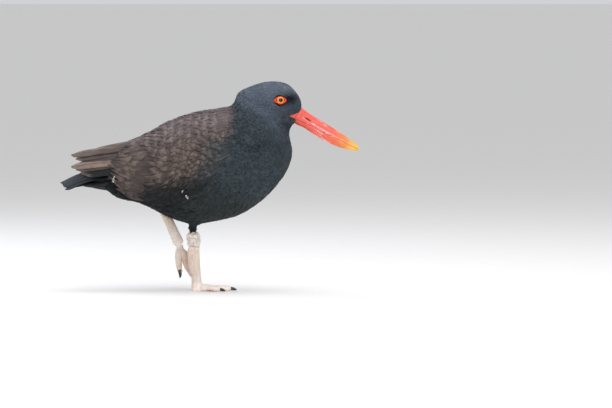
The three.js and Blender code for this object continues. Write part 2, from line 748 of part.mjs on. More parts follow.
const torsoRoom = torsoLength(gap);
place("torso", "slate", torsoLength(0));
place("neck", "slate", bodyLength(neckFrom, headFrom, 8, bodyAround, { clear: gap }));
place("head", "slate", headPart());
for (const [name, shape] of Object.entries(billParts())) place(name, "vermilion", shape);
for (const [name, side] of Object.entries(sides)) {
  place(`eye_${name}`, "iris", eyeBall(side));
  place(`eyelid_${name}`, "vermilion", eyeLid(side).subtract(eyeBall(side, gap)));
  place(`wing_${name}`, "umber", wing(side));
}
place("tail", "tailBlack", bare(tailPart(), torsoRoom));
place("thigh_right", "slate", bare(thighRight(), tarsusRight(gap), torsoRoom));
place("tarsus_right", "legPink", tarsusRight().intersect(aboveFloor));
place("tarsus_left", "legPink", bare(tarsusLeft(), torsoRoom));
for (const side of Object.keys(sides))
  for (const [name, shape] of Object.entries(foot(side)))
    place(name, name.startsWith("claw") ? "claw" : "legPink", shape);

export default oystercatcher;
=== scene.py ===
import math
from functools import partial
from itertools import product

import bpy
import numpy as np
from mathutils import Matrix, Vector
from mathutils.bvhtree import BVHTree
from mathutils.kdtree import KDTree


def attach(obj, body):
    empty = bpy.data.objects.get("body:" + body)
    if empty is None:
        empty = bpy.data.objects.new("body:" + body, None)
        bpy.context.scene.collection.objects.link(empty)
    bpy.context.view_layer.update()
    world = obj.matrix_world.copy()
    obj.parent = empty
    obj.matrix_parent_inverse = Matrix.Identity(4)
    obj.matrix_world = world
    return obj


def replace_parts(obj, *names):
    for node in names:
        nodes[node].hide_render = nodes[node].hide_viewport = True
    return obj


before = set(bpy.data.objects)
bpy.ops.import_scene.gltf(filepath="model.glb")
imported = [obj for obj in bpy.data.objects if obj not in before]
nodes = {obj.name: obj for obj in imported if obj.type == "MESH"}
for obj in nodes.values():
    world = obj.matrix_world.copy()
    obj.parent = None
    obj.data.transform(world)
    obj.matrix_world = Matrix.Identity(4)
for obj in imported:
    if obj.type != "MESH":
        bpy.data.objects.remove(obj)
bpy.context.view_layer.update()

# A blackish oystercatcher, life size, standing on its right foot. It faces +X, its left is +Y.
# Forms are given in millimetres and turned to metres when a mesh is made.

mm = 0.001
random = np.random.default_rng(11)
bothSides = {"left": 1, "right": -1}


# numbers and curves

def mix(a, b, t):
    return a + (b - a) * t


def smooth(value, low, high):
    t = np.clip((value - low) / (high - low), 0, 1)
    return t * t * (3 - 2 * t)


def power(value, exponent):
    return np.sign(value) * np.abs(value) ** exponent


def unit(vectors):
    return vectors / np.maximum(np.linalg.norm(vectors, axis=-1, keepdims=True), 1e-9)


def spline(points, at):
    # smooth curve through the points, read at places counted in points
    points = np.asarray(points, float)
    last = len(points) - 1
    at = np.clip(np.asarray(at, float), 0, last)
    i = np.minimum(at.astype(int), last - 1)
    t = (at - i).reshape(at.shape + (1,) * (points.ndim - 1))
    before, start, end = points[np.maximum(i - 1, 0)], points[i], points[i + 1]
    after = points[np.minimum(i + 2, last)]
    return 0.5 * (2 * start + (end - before) * t + (2 * before - 5 * start + 4 * end - after) * t ** 2
                  + (3 * start - before - 3 * end + after) * t ** 3)


def patch(x, z, centre, size):
    # a soft round spot seen from the side, 1 at its centre
    return np.exp(-(((x - centre[0]) / size[0]) ** 2 + ((z - centre[1]) / size[1]) ** 2))


def colourOf(hexColour):
    # sRGB hex to linear
    channels = np.array([int(hexColour[i:i + 2], 16) for i in (1, 3, 5)]) / 255
    return np.where(channels < 0.04045, channels / 12.92, ((channels + 0.055) / 1.055) ** 2.4)


def blend(a, b, share):
    return a + (b - a) * np.asarray(share)[..., None]


def treeOf(points):
    tree = KDTree(len(points))
    for i, point in enumerate(points):
        tree.insert(point, i)
    tree.balance()
    return tree


# objects

def nothingSelected():
    if bpy.context.object and bpy.context.object.mode != "OBJECT":
        bpy.ops.object.mode_set(mode="OBJECT")
    bpy.ops.object.select_all(action="DESELECT")


def makeActive(piece):
    nothingSelected()
    piece.select_set(True)
    bpy.context.view_layer.objects.active = piece


def added(operator, name, **settings):
    nothingSelected()
    operator(**settings)
    bpy.context.object.name = name
    return bpy.context.object


def applied(piece):
    makeActive(piece)
    bpy.ops.object.transform_apply(location=True, rotation=True, scale=True)
    return piece


def duplicate(piece, name):
    made = piece.copy()
    made.data = piece.data.copy()
    made.name = name
    bpy.context.collection.objects.link(made)
    return made


def joined(pieces):
    nothingSelected()
    for piece in pieces:
        piece.select_set(True)
    bpy.context.view_layer.objects.active = pieces[0]
    bpy.ops.object.join()
    return bpy.context.object


def edited(piece, operator, **settings):
    # one edit-mode operator on the whole mesh
    makeActive(piece)
    bpy.ops.object.mode_set(mode="EDIT")
    bpy.ops.mesh.select_all(action="SELECT")
    operator(**settings)
    bpy.ops.object.mode_set(mode="OBJECT")
    return piece


def modified(piece, kind, **settings):
    makeActive(piece)
    modifier = piece.modifiers.new(kind.title(), kind)
    for key, value in settings.items():
        setattr(modifier, key, value)
    bpy.ops.object.modifier_apply(modifier=modifier.name)


def shadeSmooth(piece):
    makeActive(piece)
    bpy.ops.object.shade_smooth()


def copyOf(name, *names):
    # one merged mesh of copies of CAD nodes
    copies = [duplicate(nodes[node], name) for node in names]
    for made in copies:
        made.parent = None
        made.matrix_world = Matrix.Identity(4)
    piece = joined(copies)
    piece.name = piece.data.name = name
    piece.data.materials.clear()
    return edited(piece, bpy.ops.mesh.remove_doubles, threshold=0.00001)


def verticesOf(piece, key="co"):
    values = np.empty(len(piece.data.vertices) * 3)
    piece.data.vertices.foreach_get(key, values)
    return values.reshape(-1, 3)


def moveVertices(piece, co):
    piece.data.vertices.foreach_set("co", co.ravel())
    piece.data.update()


def meshPiece(name, vertices, triangles):
    data = bpy.data.meshes.new(name)
    corners = len(triangles) * 3
    data.vertices.add(len(vertices))
    data.vertices.foreach_set("co", np.ascontiguousarray(vertices, dtype=np.float32).ravel())
    data.loops.add(corners)
    data.loops.foreach_set("vertex_index", np.ascontiguousarray(triangles, dtype=np.int32).ravel())
    data.polygons.add(len(triangles))
    data.polygons.foreach_set("loop_start", np.arange(0, corners, 3, dtype=np.int32))
    data.update(calc_edges=True)
    data.validate()
    piece = bpy.data.objects.new(name, data)
    bpy.context.collection.objects.link(piece)
    data.polygons.foreach_set("use_smooth", np.ones(len(data.polygons), dtype=bool))
    return piece


def sheetFaces(rows, columns):
    # a closed sheet: one grid, a second one under it and the walls between their rims
    at = np.arange(rows * columns).reshape(rows, columns)
    quads = np.stack([at[:-1, :-1], at[1:, :-1], at[1:, 1:], at[:-1, 1:]], -1).reshape(-1, 4)
    rim = np.concatenate([at[:-1, 0], at[-1, :-1], at[:0:-1, -1], at[0, :0:-1]])
    ahead, under = np.roll(rim, -1), rows * columns
    walls = np.stack([ahead, rim, rim + under, ahead + under], -1)
    return np.concatenate([quads[:, ::-1], quads + under, walls])


def sheetPiece(name, vertices, faces):
    data = bpy.data.meshes.new(name)
    data.from_pydata((np.concatenate(vertices) * mm).tolist(), [], faces.tolist())
    piece = bpy.data.objects.new(name, data)
    bpy.context.collection.objects.link(piece)
    return edited(piece, bpy.ops.mesh.normals_make_consistent, inside=False)


def paint(piece, colours):
    # the markings with painted light and shade, one colour a vertex
    layer = piece.data.color_attributes.new("markings", "FLOAT_COLOR", "POINT")
    values = np.ones((len(colours), 4), dtype=np.float32)
    values[:, :3] = colours
    layer.data.foreach_set("color", values.ravel())


def cornersOf(piece):
    corners = np.empty(len(piece.data.loops), dtype=np.int32)
    piece.data.loops.foreach_get("vertex_index", corners)
    return corners


def setUv(piece, name, perCorner):
    layer = piece.data.uv_layers.new(name=name)
    layer.data.foreach_set("uv", np.ascontiguousarray(perCorner, dtype=np.float32).ravel())


def addUv(piece, name, perVertex):
    setUv(piece, name, perVertex[cornersOf(piece)])


def finishPiece(piece, material):
    piece.data.materials.append(material)
    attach(piece, "root")


# materials

def link(node, links):
    # each input is fed by a node's first output, or by the one named beside the node
    for key, source in links.items():
        source, output = source if isinstance(source, tuple) else (source, 0)
        node.id_data.links.new(source.outputs[output], node.inputs[key])


def addNode(tree, kind, settings={}, links={}):
    node = tree.nodes.new("ShaderNode" + kind)
    for key, value in settings.items():
        if isinstance(key, int) or key in node.inputs:
            node.inputs[key].default_value = value
        else:
            setattr(node, key, value)
    link(node, links)
    return node


def newMaterial(name, **shader):
    material = bpy.data.materials.new(name)
    material.use_nodes = True
    material.node_tree.nodes.clear()
    add = partial(addNode, material.node_tree)
    principled = add("BsdfPrincipled", shader)
    add("OutputMaterial", links={"Surface": principled})
    return material, add, principled


def rgba(hexColour):
    return (*colourOf(hexColour), 1.0)


def setRamp(node, stops):
    ramp = node.color_ramp
    while len(ramp.elements) > 1:
        ramp.elements.remove(ramp.elements[-1])
    ramp.elements[0].position, ramp.elements[0].color = stops[0][0], rgba(stops[0][1])
    for position, hexColour in stops[1:]:
        ramp.elements.new(position).color = rgba(hexColour)


def plumage(name, roughness, gloss, barbDepth):
    # keratin vanes: matt and slightly silky, the barbs running out from the shaft towards the tip
    look = {"Roughness": roughness, "Specular IOR Level": gloss, "Sheen Weight": 0.07,
            "Sheen Roughness": 0.5, "Sheen Tint": rgba("#8a93a0")}
    material, add, shader = newMaterial(name, **look)
    markings = add("Attribute", {"attribute_name": "markings"})
    vane = add("UVMap", {"uv_map": "vane"})
    place = add("SeparateXYZ", links={0: vane})
    away = add("Math", {"operation": "ABSOLUTE"}, {0: (place, "X")})
    slant = add("Math", {"operation": "MULTIPLY_ADD", 1: -0.9}, {0: away, 2: (place, "Y")})
    # one barb in 0.45 mm, about three times as coarse as real ones so that they show
    barbs = add("Math", {"operation": "MULTIPLY", 1: 2 * math.pi / 0.45}, {0: slant})
    wave = add("Math", {"operation": "SINE"}, {0: barbs})
    coords = add("TexCoord"), "Object"
    mottle = add("TexNoise", {"Scale": 420.0, "Detail": 4.0, "Roughness": 0.65}, {"Vector": coords})
    height = add("Math", {"operation": "MULTIPLY_ADD", 1: 0.5}, {0: wave, 2: mottle})
    bump = add("Bump", {"Strength": 0.5, "Distance": barbDepth * mm}, {"Height": height})
    shade = add("MapRange", {"From Min": 0.25, "From Max": 0.75, "To Min": 0.8, "To Max": 1.18},
                {"Value": mottle})
    line = add("MapRange", {"From Min": -1.0, "From Max": 1.0, "To Min": 0.9, "To Max": 1.08},
               {"Value": wave})
    # soft worn patches about 12 mm long, drawn out along the body
    worn = add("Mapping", {"Scale": (75, 130, 150)}, {"Vector": coords})
    worn = add("TexNoise", {"Scale": 1.0, "Detail": 3.0}, {"Vector": worn})
    worn = add("MapRange", {"From Min": 0.32, "From Max": 0.68, "To Min": 0.8, "To Max": 1.22},
               {"Value": worn})
    line = add("Math", {"operation": "MULTIPLY"}, {0: line, 1: worn})
    both = add("Math", {"operation": "MULTIPLY"}, {0: shade, 1: line})
    tinted = add("MixRGB", {"blend_type": "MULTIPLY", "Fac": 1.0}, {"Color1": markings, "Color2": both})
    link(shader, {"Base Color": tinted, "Normal": bump})
    return material


softPlumage = plumage("softContourFeather", 0.74, 0.2, 0.25)
stiffPlumage = plumage("stiffFlightFeather", 0.52, 0.28, 0.18)
print("materials for the plumage made")


# the body's form: sections that fan from the rump to the forehead

bodyForm = {
    "upper": [(-113, 145), (-94, 161), (-70, 181), (-48, 198), (-26, 208.5), (-2, 216), (19, 219.5),
              (33.5, 222), (40, 223.5), (42.5, 225.5), (44.5, 229), (46, 233), (48.5, 238.5), (55, 243),
              (65, 246.5), (80, 251), (95, 252), (108.5, 249), (119, 239), (124.5, 230), (126.5, 220)],
    "lower": [(-113, 123), (-94, 110), (-72, 105.5), (-52, 96.5), (-28, 85), (-2, 79), (24, 83),
              (50, 89.5), (75, 104.5), (95, 124), (110, 147.5), (115, 167), (111.5, 185), (111.5, 193),
              (114, 197.5), (116, 199.5), (117.5, 200.5), (118.5, 201), (119.5, 201.5), (120, 201.5),
              (120.5, 203)],
    "half": [11, 24, 36, 45, 50.5, 53, 53.5, 51, 47, 42, 36.5, 32, 28.5, 25.5, 24, 22.5, 20.5, 17.5,
             13.5, 10, 6.8],
    "squareness": 0.88,
}
lastStation = len(bodyForm["half"]) - 1


def bodyPoint(station, angle):
    upper, lower, half = (spline(bodyForm[key], station) for key in ("upper", "lower", "half"))
    middle, arm = (upper + lower) / 2, (upper - lower) / 2
    rise = power(np.cos(angle), bodyForm["squareness"])
    out = power(np.sin(angle), bodyForm["squareness"])
    x, z = (middle[..., i] + arm[..., i] * rise for i in (0, 1))
    return np.stack([x, half * out, z], -1)


# the folded wing's form: a runs from its front edge to its rear one, b from back to belly

wingForm = {
    "x": [41, 14, -12, -40, -70, -88, -103, -118, -150],
    "middle": [155, 149, 146.3, 137.5, 134, 135.5, 143, 152.5, 157],
    "tall": [67.4, 69.9, 67.8, 64.5, 50.5, 42.5, 31.5, 18, 8.5],
    "wide": [51.8, 55.7, 56.3, 53, 45.5, 38, 30, 21, 11],
    "top": math.radians(24), "bottom": math.radians(117),
    "rear": -117, "rearSweep": 12,
    "front": 42, "sweep": 52, "sweepFrom": 0.45, "sweepBend": 1.8,
    "seamFrom": 30, "seamTo": 74,
}


def wingSection(x):
    # height of the middle, half height and half width at x
    stations = np.array(wingForm["x"], float)
    at = np.interp(-x, -stations, np.arange(len(stations)))
    return [spline(wingForm[key], at) for key in ("middle", "tall", "wide")]


def onWing(side, a, b, lift=0.0):
    form = wingForm
    a, b = np.broadcast_arrays(np.asarray(a, float), np.asarray(b, float))
    below = np.clip((b - form["sweepFrom"]) / (1 - form["sweepFrom"]), 0, None)
    front = form["front"] - form["sweep"] * below ** form["sweepBend"]
    x = mix(front, form["rear"] + form["rearSweep"] * b ** 2, a)
    top = form["top"] * (1 - smooth(-x, form["seamFrom"], form["seamTo"]))
    angle = mix(top, form["bottom"], b)
    middle, tall, wide = wingSection(x)
    y = (wide + lift) * power(np.sin(angle), bodyForm["squareness"])
    z = middle + (tall + lift) * power(np.cos(angle), bodyForm["squareness"])
    return np.stack([x, side * np.maximum(y, 0.4), z], axis=-1)


# skin: the flesh nodes and the folded wings as one surface, sunk by the depth of the coat

skinLook = {"voxel": 1.5 * mm, "smoothing": 6, "headCoat": 0.7, "bodyCoat": 1.7, "shankCoat": 0.3,
            "shankTop": 80, "wingCore": 6.0, "wingRearCore": 2.4, "edgeNear": 5, "edgeFar": 15,
            "edgeRounds": 90, "pinch": 3.6, "pinchAt": (119, 209), "pinchSize": (8, 9)}


def wingCore(side):
    a, b = np.meshgrid(np.linspace(0.01, 0.87, 56), np.linspace(0, 0.985, 40), indexing="ij")
    thin = mix(skinLook["wingCore"], skinLook["wingRearCore"], smooth(a, 0.7, 0.9))
    layers = [onWing(side, a, b, lift).reshape(-1, 3) for lift in (-0.4, -thin)]
    return sheetPiece("wingCore", layers, sheetFaces(*a.shape))


def fair(skin):
    # smooths only the strip where wing and body meet, along the wing's front and lower edges
    along = np.linspace(0, 1, 60)
    edges = [onWing(side, a, b) for side in bothSides.values()
             for a, b in ((np.zeros(60), along), (along * 0.6, np.ones(60)))]
    tree = treeOf(np.concatenate(edges))
    far = np.array([tree.find(point)[2] for point in verticesOf(skin) / mm])
    weight = 1 - smooth(far, skinLook["edgeNear"], skinLook["edgeFar"])
    group = skin.vertex_groups.new(name="edge")
    for i in np.nonzero(weight > 0.02)[0]:
        group.add([int(i)], float(weight[i]), "REPLACE")
    modified(skin, "SMOOTH", factor=0.6, iterations=skinLook["edgeRounds"], vertex_group="edge")


def makeSkin():
    skin = copyOf("plumageSkin", "torso", "neck", "head", "thigh_right")
    skin = joined([skin] + [wingCore(side) for side in bothSides.values()])
    modified(skin, "REMESH", mode="VOXEL", voxel_size=skinLook["voxel"])
    modified(skin, "SMOOTH", factor=0.5, iterations=skinLook["smoothing"])
    fair(skin)
    co = verticesOf(skin) / mm
    # the face narrows where the bill goes in
    pinch = skinLook["pinch"] * patch(co[:, 0], co[:, 2], skinLook["pinchAt"], skinLook["pinchSize"])
    co[:, 1] -= np.sign(co[:, 1]) * np.minimum(pinch, np.abs(co[:, 1]) * 0.4)
    onHead = smooth(co[:, 0] + 0.35 * (co[:, 2] - 200), 62, 88)
    coatDepth = mix(skinLook["bodyCoat"], skinLook["headCoat"], onHead)
    onShank = smooth(-co[:, 2], -skinLook["shankTop"], -skinLook["shankTop"] + 6)
    coatDepth = mix(coatDepth, skinLook["shankCoat"], onShank)
    moveVertices(skin, (co - verticesOf(skin, "normal") * coatDepth[:, None]) * mm)
    shadeSmooth(skin)
    return skin


skin = makeSkin()
print("skin made", len(skin.data.vertices))


# where a point lies on the bird: its station, its angle and the way its feathers lie

lieStep = 0.12
lieStations, lieAngles = (part.ravel() for part in np.meshgrid(
    np.linspace(0, lastStation, 260), np.linspace(-math.pi, math.pi, 120, endpoint=False), indexing="ij"))
lieFlow = unit(bodyPoint(np.maximum(lieStations - lieStep, 0), lieAngles)
               - bodyPoint(np.minimum(lieStations + lieStep, lastStation), lieAngles))
lieTree = treeOf(bodyPoint(lieStations, lieAngles))
skinTree = BVHTree.FromPolygons([tuple(v) for v in verticesOf(skin) / mm],
                                [tuple(p.vertices) for p in skin.data.polygons])
gridA, gridB = (part.ravel() for part in np.meshgrid(np.linspace(0, 1, 70), np.linspace(0, 1, 60),
                                                     indexing="ij"))
wingTree = treeOf(np.concatenate([onWing(side, gridA, gridB) for side in bothSides.values()]))


def lieOf(points):
    found = np.array([lieTree.find(point)[1] for point in points])
    return lieStations[found], lieAngles[found], lieFlow[found]


def ontoSkin(points):
    # nearest places on the skin and the normals there
    hits = [skinTree.find_nearest(Vector(point)) for point in points]
    return np.array([hit[0] for hit in hits]), np.array([hit[1] for hit in hits])


def wingPlace(points):
    # a and b of the nearest place on a folded wing, and how far off it is
    found = [wingTree.find(point) for point in points]
    at = np.array([hit[1] for hit in found]) % len(gridA)
    return gridA[at], gridB[at], np.array([hit[2] for hit in found])


# markings with painted light: slate head and breast, brown back and wings, near black below (partly painted
# shade) and on the tail

tones = {key: colourOf(value) for key, value in {
    "crown": "#646e7b", "face": "#3f4852", "cheek": "#515b68", "lores": "#0c1115", "nape": "#5b6572",
    "breast": "#394349", "belly": "#282f2f", "vent": "#0d1113", "mantle": "#6a5f60", "fringe": "#9c8b81",
    "wing": "#564b47", "wingLow": "#1b1e1f", "tail": "#111821", "tailSheen": "#3c4858", "tip": "#63564f",
    "paleTip": "#8f7c70", "down": "#fbf6ea",
}.items()}

neckFold = [(40, 204), (44, 194), (51, 187), (59, 182), (68, 179), (77, 179), (86, 182)]
loresSpot, chinSpot = ((113.5, 229), (8, 5.5)), ((111, 200), (7, 6))


def bodyColour(points):
    # colour of the coat at places on the body, before the fringe of each feather, with painted shade below,
    # a painted highlight on the crown and a painted shadow under the hood
    x, y, z = points.T
    station, angle, _ = lieOf(points)
    turn = np.abs(angle)
    # darker towards the belly and the vent: partly the plumage's own tone, partly painted shade on the
    # underside
    colour = blend(tones["belly"], tones["breast"], smooth(x * 0.5 + z, 110, 185))
    colour = blend(colour, tones["vent"], smooth(-x + 0.25 * (120 - z), -4, 48) * (turn > 1.2))
    # a painted highlight on the top of the head
    head = blend(tones["cheek"], tones["crown"], smooth(z, 226, 246))
    head = blend(head, tones["nape"], smooth(-x, -86, -58))
    head = blend(head, tones["face"], smooth(x, 92, 106) * smooth(-z, -236, -226) * 0.8)
    head = blend(head, tones["lores"], np.clip(patch(x, z, *loresSpot) * 1.3, 0, 1))
    colour = blend(colour, head, smooth(station, 10.4, 13.2))
    # the hood of the head lies over the neck in a fold, with a shadow under its edge
    fold = spline(neckFold, np.linspace(0, len(neckFold) - 1, 40))
    far = np.sqrt(((points[:, None, [0, 2]] - fold[None]) ** 2).sum(-1)).min(axis=1)
    colour = colour * (1 - 0.45 * np.exp(-(far / 3.2) ** 2) * (np.abs(y) > 8))[:, None]
    colour = blend(colour, tones["lores"], 0.6 * patch(x, z, *chinSpot))
    ahead = 1 - smooth(x + 0.25 * (200 - z), 38, 50)
    back = (1 - smooth(station, 8.1, 9.6)) * (1 - smooth(turn, 1.15, 1.75)) * ahead
    return blend(colour, tones["mantle"], back)


# feathers: closed thin vanes, made as arrays and joined in one mesh

usualFeather = {"rootWidth": 0.35, "fray": 0.06, "round": 0.16, "thick": 0.25, "tilt": 0.0, "loose": 0.15,
                "varied": 0.08, "shadow": -0.2, "fringe": 0.25, "shaft": 0.2, "bakePatch": 0.003}


def vaneGrid(rows, columns):
    # places on a vane, u from root to tip and v across, and the faces of its upper and under sides
    u, v = np.meshgrid(np.linspace(0, 1, rows + 1), np.linspace(-1, 1, columns + 1), indexing="ij")
    at = np.arange(u.size).reshape(u.shape)
    a, b, c, d = (part.ravel() for part in (at[:-1, :-1], at[1:, :-1], at[1:, 1:], at[:-1, 1:]))
    left, right = at[:, 0], at[:, -1]
    sides = [(a, b, c), (a, c, d), (left[:-1], right[:-1], right[1:]), (left[:-1], right[1:], left[1:])]
    tipFan = [(at[-1, 0], at[-1, j + 1], at[-1, j]) for j in range(1, columns)]
    rootFan = [(at[0, 0], at[0, j], at[0, j + 1]) for j in range(1, columns)]
    faces = [np.stack(side, -1) for side in sides] + [np.array(tipFan), np.array(rootFan)]
    return u.ravel(), v.ravel(), np.concatenate(faces)


def featherField(name, kind, line, normals, length, half, colour, bakeAt):
    # every feather follows a bent line from root to tip, with its flat on the surface below
    kind = {**usualFeather, **kind}
    roots, mids, tips = line
    rootNormals, tipNormals = normals
    count = len(roots)
    u, v, faces = vaneGrid(kind["rows"], kind["columns"])
    wide = kind["rootWidth"] + (1 - kind["rootWidth"]) * smooth(u, 0, 0.5)
    wide = wide * np.sqrt(np.clip(1 - (0.9 * u) ** 4, 0.02, 1))
    frayed = kind["fray"] * random.uniform(-1, 1, (count, len(u))) * (u > 0.45)
    along = u - kind["round"] * v ** 2 * u ** 2 + frayed * u
    t = along[..., None]
    places = roots[:, None] * (1 - t) ** 2 + mids[:, None] * 2 * t * (1 - t) + tips[:, None] * t ** 2
    normal = unit(rootNormals[:, None] * (1 - t) + tipNormals[:, None] * t)
    heading = unit((mids - roots)[:, None] * (1 - t) + (tips - mids)[:, None] * t)
    out = half[:, None, None] * (wide * v)[None, :, None]
    size = half[:, None]
    rise = mix(kind["rootLift"], kind["tipLift"], u)[None] + kind["thick"] * (1 - v ** 2)[None]
    rise = rise - kind["camber"] * size * (v ** 2)[None] * (0.4 + 0.6 * u)[None]
    rise = rise + kind["tilt"] * size * v[None]
    rise = rise + random.uniform(-1, 1, (count, 1)) * kind["loose"] * u[None]
    vertices = places + unit(np.cross(normal, heading)) * out + normal * rise[..., None]
    triangles = (faces[None] + np.arange(count)[:, None, None] * len(u)).reshape(-1, 3)
    piece = meshPiece(name, vertices.reshape(-1, 3) * mm, triangles)
    # a paler fringe at the edge and tip, a darker middle along the shaft, and one draw for each
    edge = np.clip(np.abs(v) ** 5 * u + smooth(u, 0.8, 1.0), 0, 1)[None, :, None]
    paler = kind.get("fringeColour", colour * 1.45)[:, None]
    shaft = kind["shaft"] * (np.exp(-(v / 0.22) ** 2) * (1 - 0.6 * u))[None, :, None]
    each = random.normal(1, kind["varied"], (count, 1, 1))
    shades = colour[:, None] * (1 + kind["shadow"] * (1 - smooth(u, 0.1, 0.8)))[None, :, None]
    shades = shades * (1 - edge * kind["fringe"]) + paler * edge * kind["fringe"]
    paint(piece, np.clip(shades * (1 - shaft) * each, 0.001, 1).reshape(-1, 3))
    vane = np.stack([v[None] * size, along * length[:, None]], -1)
    addUv(piece, "vane", vane.reshape(-1, 2))
    bakePatch = bakeAt[:, None] + kind["bakePatch"] * np.stack([v * 0.5, u - 0.5], -1)[None]
    addUv(piece, "OFBake", bakePatch.reshape(-1, 2))
    finishPiece(piece, softPlumage)
    print(name, count, "feathers", len(triangles), "triangles")
    return piece


def bakePlace(points):
    # the skin opened out flat: round the body across, along it upwards
    station, angle, _ = lieOf(points)
    return np.stack([0.02 + 0.96 * (angle / (2 * math.pi) + 0.5), 0.02 + 0.96 * station / lastStation], -1)


def bakeSkin():
    # the same unwrap for the skin itself, with no face stretched across the seam under the belly
    polygons = skin.data.polygons
    starts, sizes = np.empty(len(polygons), dtype=np.int32), np.empty(len(polygons), dtype=np.int32)
    polygons.foreach_get("loop_start", starts)
    polygons.foreach_get("loop_total", sizes)
    places = bakePlace(verticesOf(skin) / mm)[cornersOf(skin)]
    first = places[np.repeat(starts, sizes), 0]
    places[:, 0] -= 0.96 * np.round((places[:, 0] - first) / 0.96)
    setUv(skin, "OFBake", places)


# spots for the small feathers: an even scatter over the skin, closer on the head

spacing = {"back": 3.7, "body": 3.1, "head": 1.3, "cell": 4.0, "tries": 130000}  # a cell holds any gap


def scatter():
    skin.data.calc_loop_triangles()
    tris = np.empty(len(skin.data.loop_triangles) * 3, dtype=np.int32)
    skin.data.loop_triangles.foreach_get("vertices", tris)
    corners = (verticesOf(skin) / mm)[tris.reshape(-1, 3)]
    area = np.linalg.norm(np.cross(corners[:, 1] - corners[:, 0], corners[:, 2] - corners[:, 0]), axis=1)
    weight = area / coatSpacing(corners.mean(axis=1)) ** 2
    tries, cell = spacing["tries"], spacing["cell"]
    chosen = random.choice(len(corners), tries, p=weight / weight.sum())
    r, s = np.sqrt(random.random(tries)), random.random(tries)
    a, b, c = (corners[chosen, i] for i in range(3))
    points = a * (1 - r)[:, None] + b * (r * (1 - s))[:, None] + c * (r * s)[:, None]
    steps, taken, kept = list(product((-1, 0, 1), repeat=3)), {}, []
    for i, (point, gap) in enumerate(zip(points.tolist(), coatSpacing(points).tolist())):
        x, y, z = (int(value // cell) for value in point)
        near = (other for dx, dy, dz in steps for other in taken.get((x + dx, y + dy, z + dz), ()))
        if all((q[0] - point[0]) ** 2 + (q[1] - point[1]) ** 2 + (q[2] - point[2]) ** 2 >= gap * gap
               for q in near):
            taken.setdefault((x, y, z), []).append(point)
            kept.append(i)
    return points[kept]


def headness(points):
    return smooth(points[:, 0] + 0.35 * (points[:, 2] - 200), 50, 92)


def onBack(points):
    station, angle, _ = lieOf(points)
    return (station < 9.3) & (np.abs(angle) < 1.35)


def coatSpacing(points):
    return np.where(onBack(points), spacing["back"], mix(spacing["body"], spacing["head"], headness(points)))


bareEye = {"x": 100.2, "z": 229.3, "reach": 7.6, "flatter": 1.35, "side": 8}  # no feathers so near
spots = scatter()
station, angle, flow = lieOf(spots)
onShank = smooth(-spots[:, 2], -84, -78)[:, None] * (np.abs(spots[:, :1] + 4) < 14)
flow = unit(flow * (1 - onShank) + np.array([-0.15, 0, -1.0]) * onShank)
a, b, far = wingPlace(spots)
onTheWing = (far < 8) & (a > 0.1) & (b > 0.02) & (b < 0.93) & (a < 0.99)
fromEye = np.hypot(spots[:, 0] - bareEye["x"], (spots[:, 2] - bareEye["z"]) * bareEye["flatter"])
nearEye = (fromEye < bareEye["reach"]) & (np.abs(spots[:, 1]) > bareEye["side"])
kept = ~onTheWing & ~nearEye & (station > 0.25)
spots, station, flow = spots[kept], station[kept], flow[kept]
print("spots", len(spots))


def layFeathers(name, kind, places, flowHere, length, half, colour):
    roots, rootNormals = ontoSkin(places)
    heading = unit(flowHere - rootNormals * np.sum(flowHere * rootNormals, -1, keepdims=True))
    turn = random.normal(0, kind["stray"], len(places))[:, None]
    heading = unit(heading + np.cross(rootNormals, heading) * turn)
    mids, free = (roots + heading * reach[:, None] for reach in (length / 2, length))
    tips, tipNormals = ontoSkin(free)
    # round the tail's root and at the foot of the shank the tips hang free
    x, _, z = places.T
    loose = np.maximum(smooth(-x, 100, 108), smooth(-z, -76, -70))[:, None]
    tips = tips + (free - tips) * loose
    tipNormals = unit(tipNormals + (rootNormals - tipNormals) * loose)
    featherField(name, kind, (roots, mids, tips), (rootNormals, tipNormals), length, half, colour,
                 bakePlace(places))


soft = {"varied": 0.07, "shaft": 0.06, "shadow": -0.12, "fringe": 0.2, "round": 0.2, "loose": 0.2}
coat = {
    "headFeathers": dict(soft, rows=3, columns=3, rootLift=-0.35, tipLift=0.42, camber=0.25, fray=0.16,
                         thick=0.1, loose=0.12, stray=0.14, varied=0.09, round=0.25),
    "neckFeathers": dict(soft, rows=3, columns=5, rootLift=-0.5, tipLift=0.6, camber=0.2, fray=0.2,
                         thick=0.12, stray=0.16, round=0.22),
    "breastFeathers": dict(soft, rows=4, columns=6, rootLift=-0.4, tipLift=0.62, camber=0.12, fray=0.12,
                           thick=0.14, stray=0.18, fringe=0.16),
    "bellyFeathers": dict(soft, rows=4, columns=6, rootLift=-0.4, tipLift=0.75, camber=0.12, fray=0.16,
                          thick=0.14, loose=0.28, stray=0.22, fringe=0.14, varied=0.08),
    "mantleFeathers": dict(soft, rows=5, columns=6, rootLift=-0.7, tipLift=1.2, camber=0.2, fray=0.05,
                           thick=0.2, loose=0.3, stray=0.14, fringe=0.7, varied=0.13, shaft=0.3,
                           shadow=-0.35, round=0.3),
}


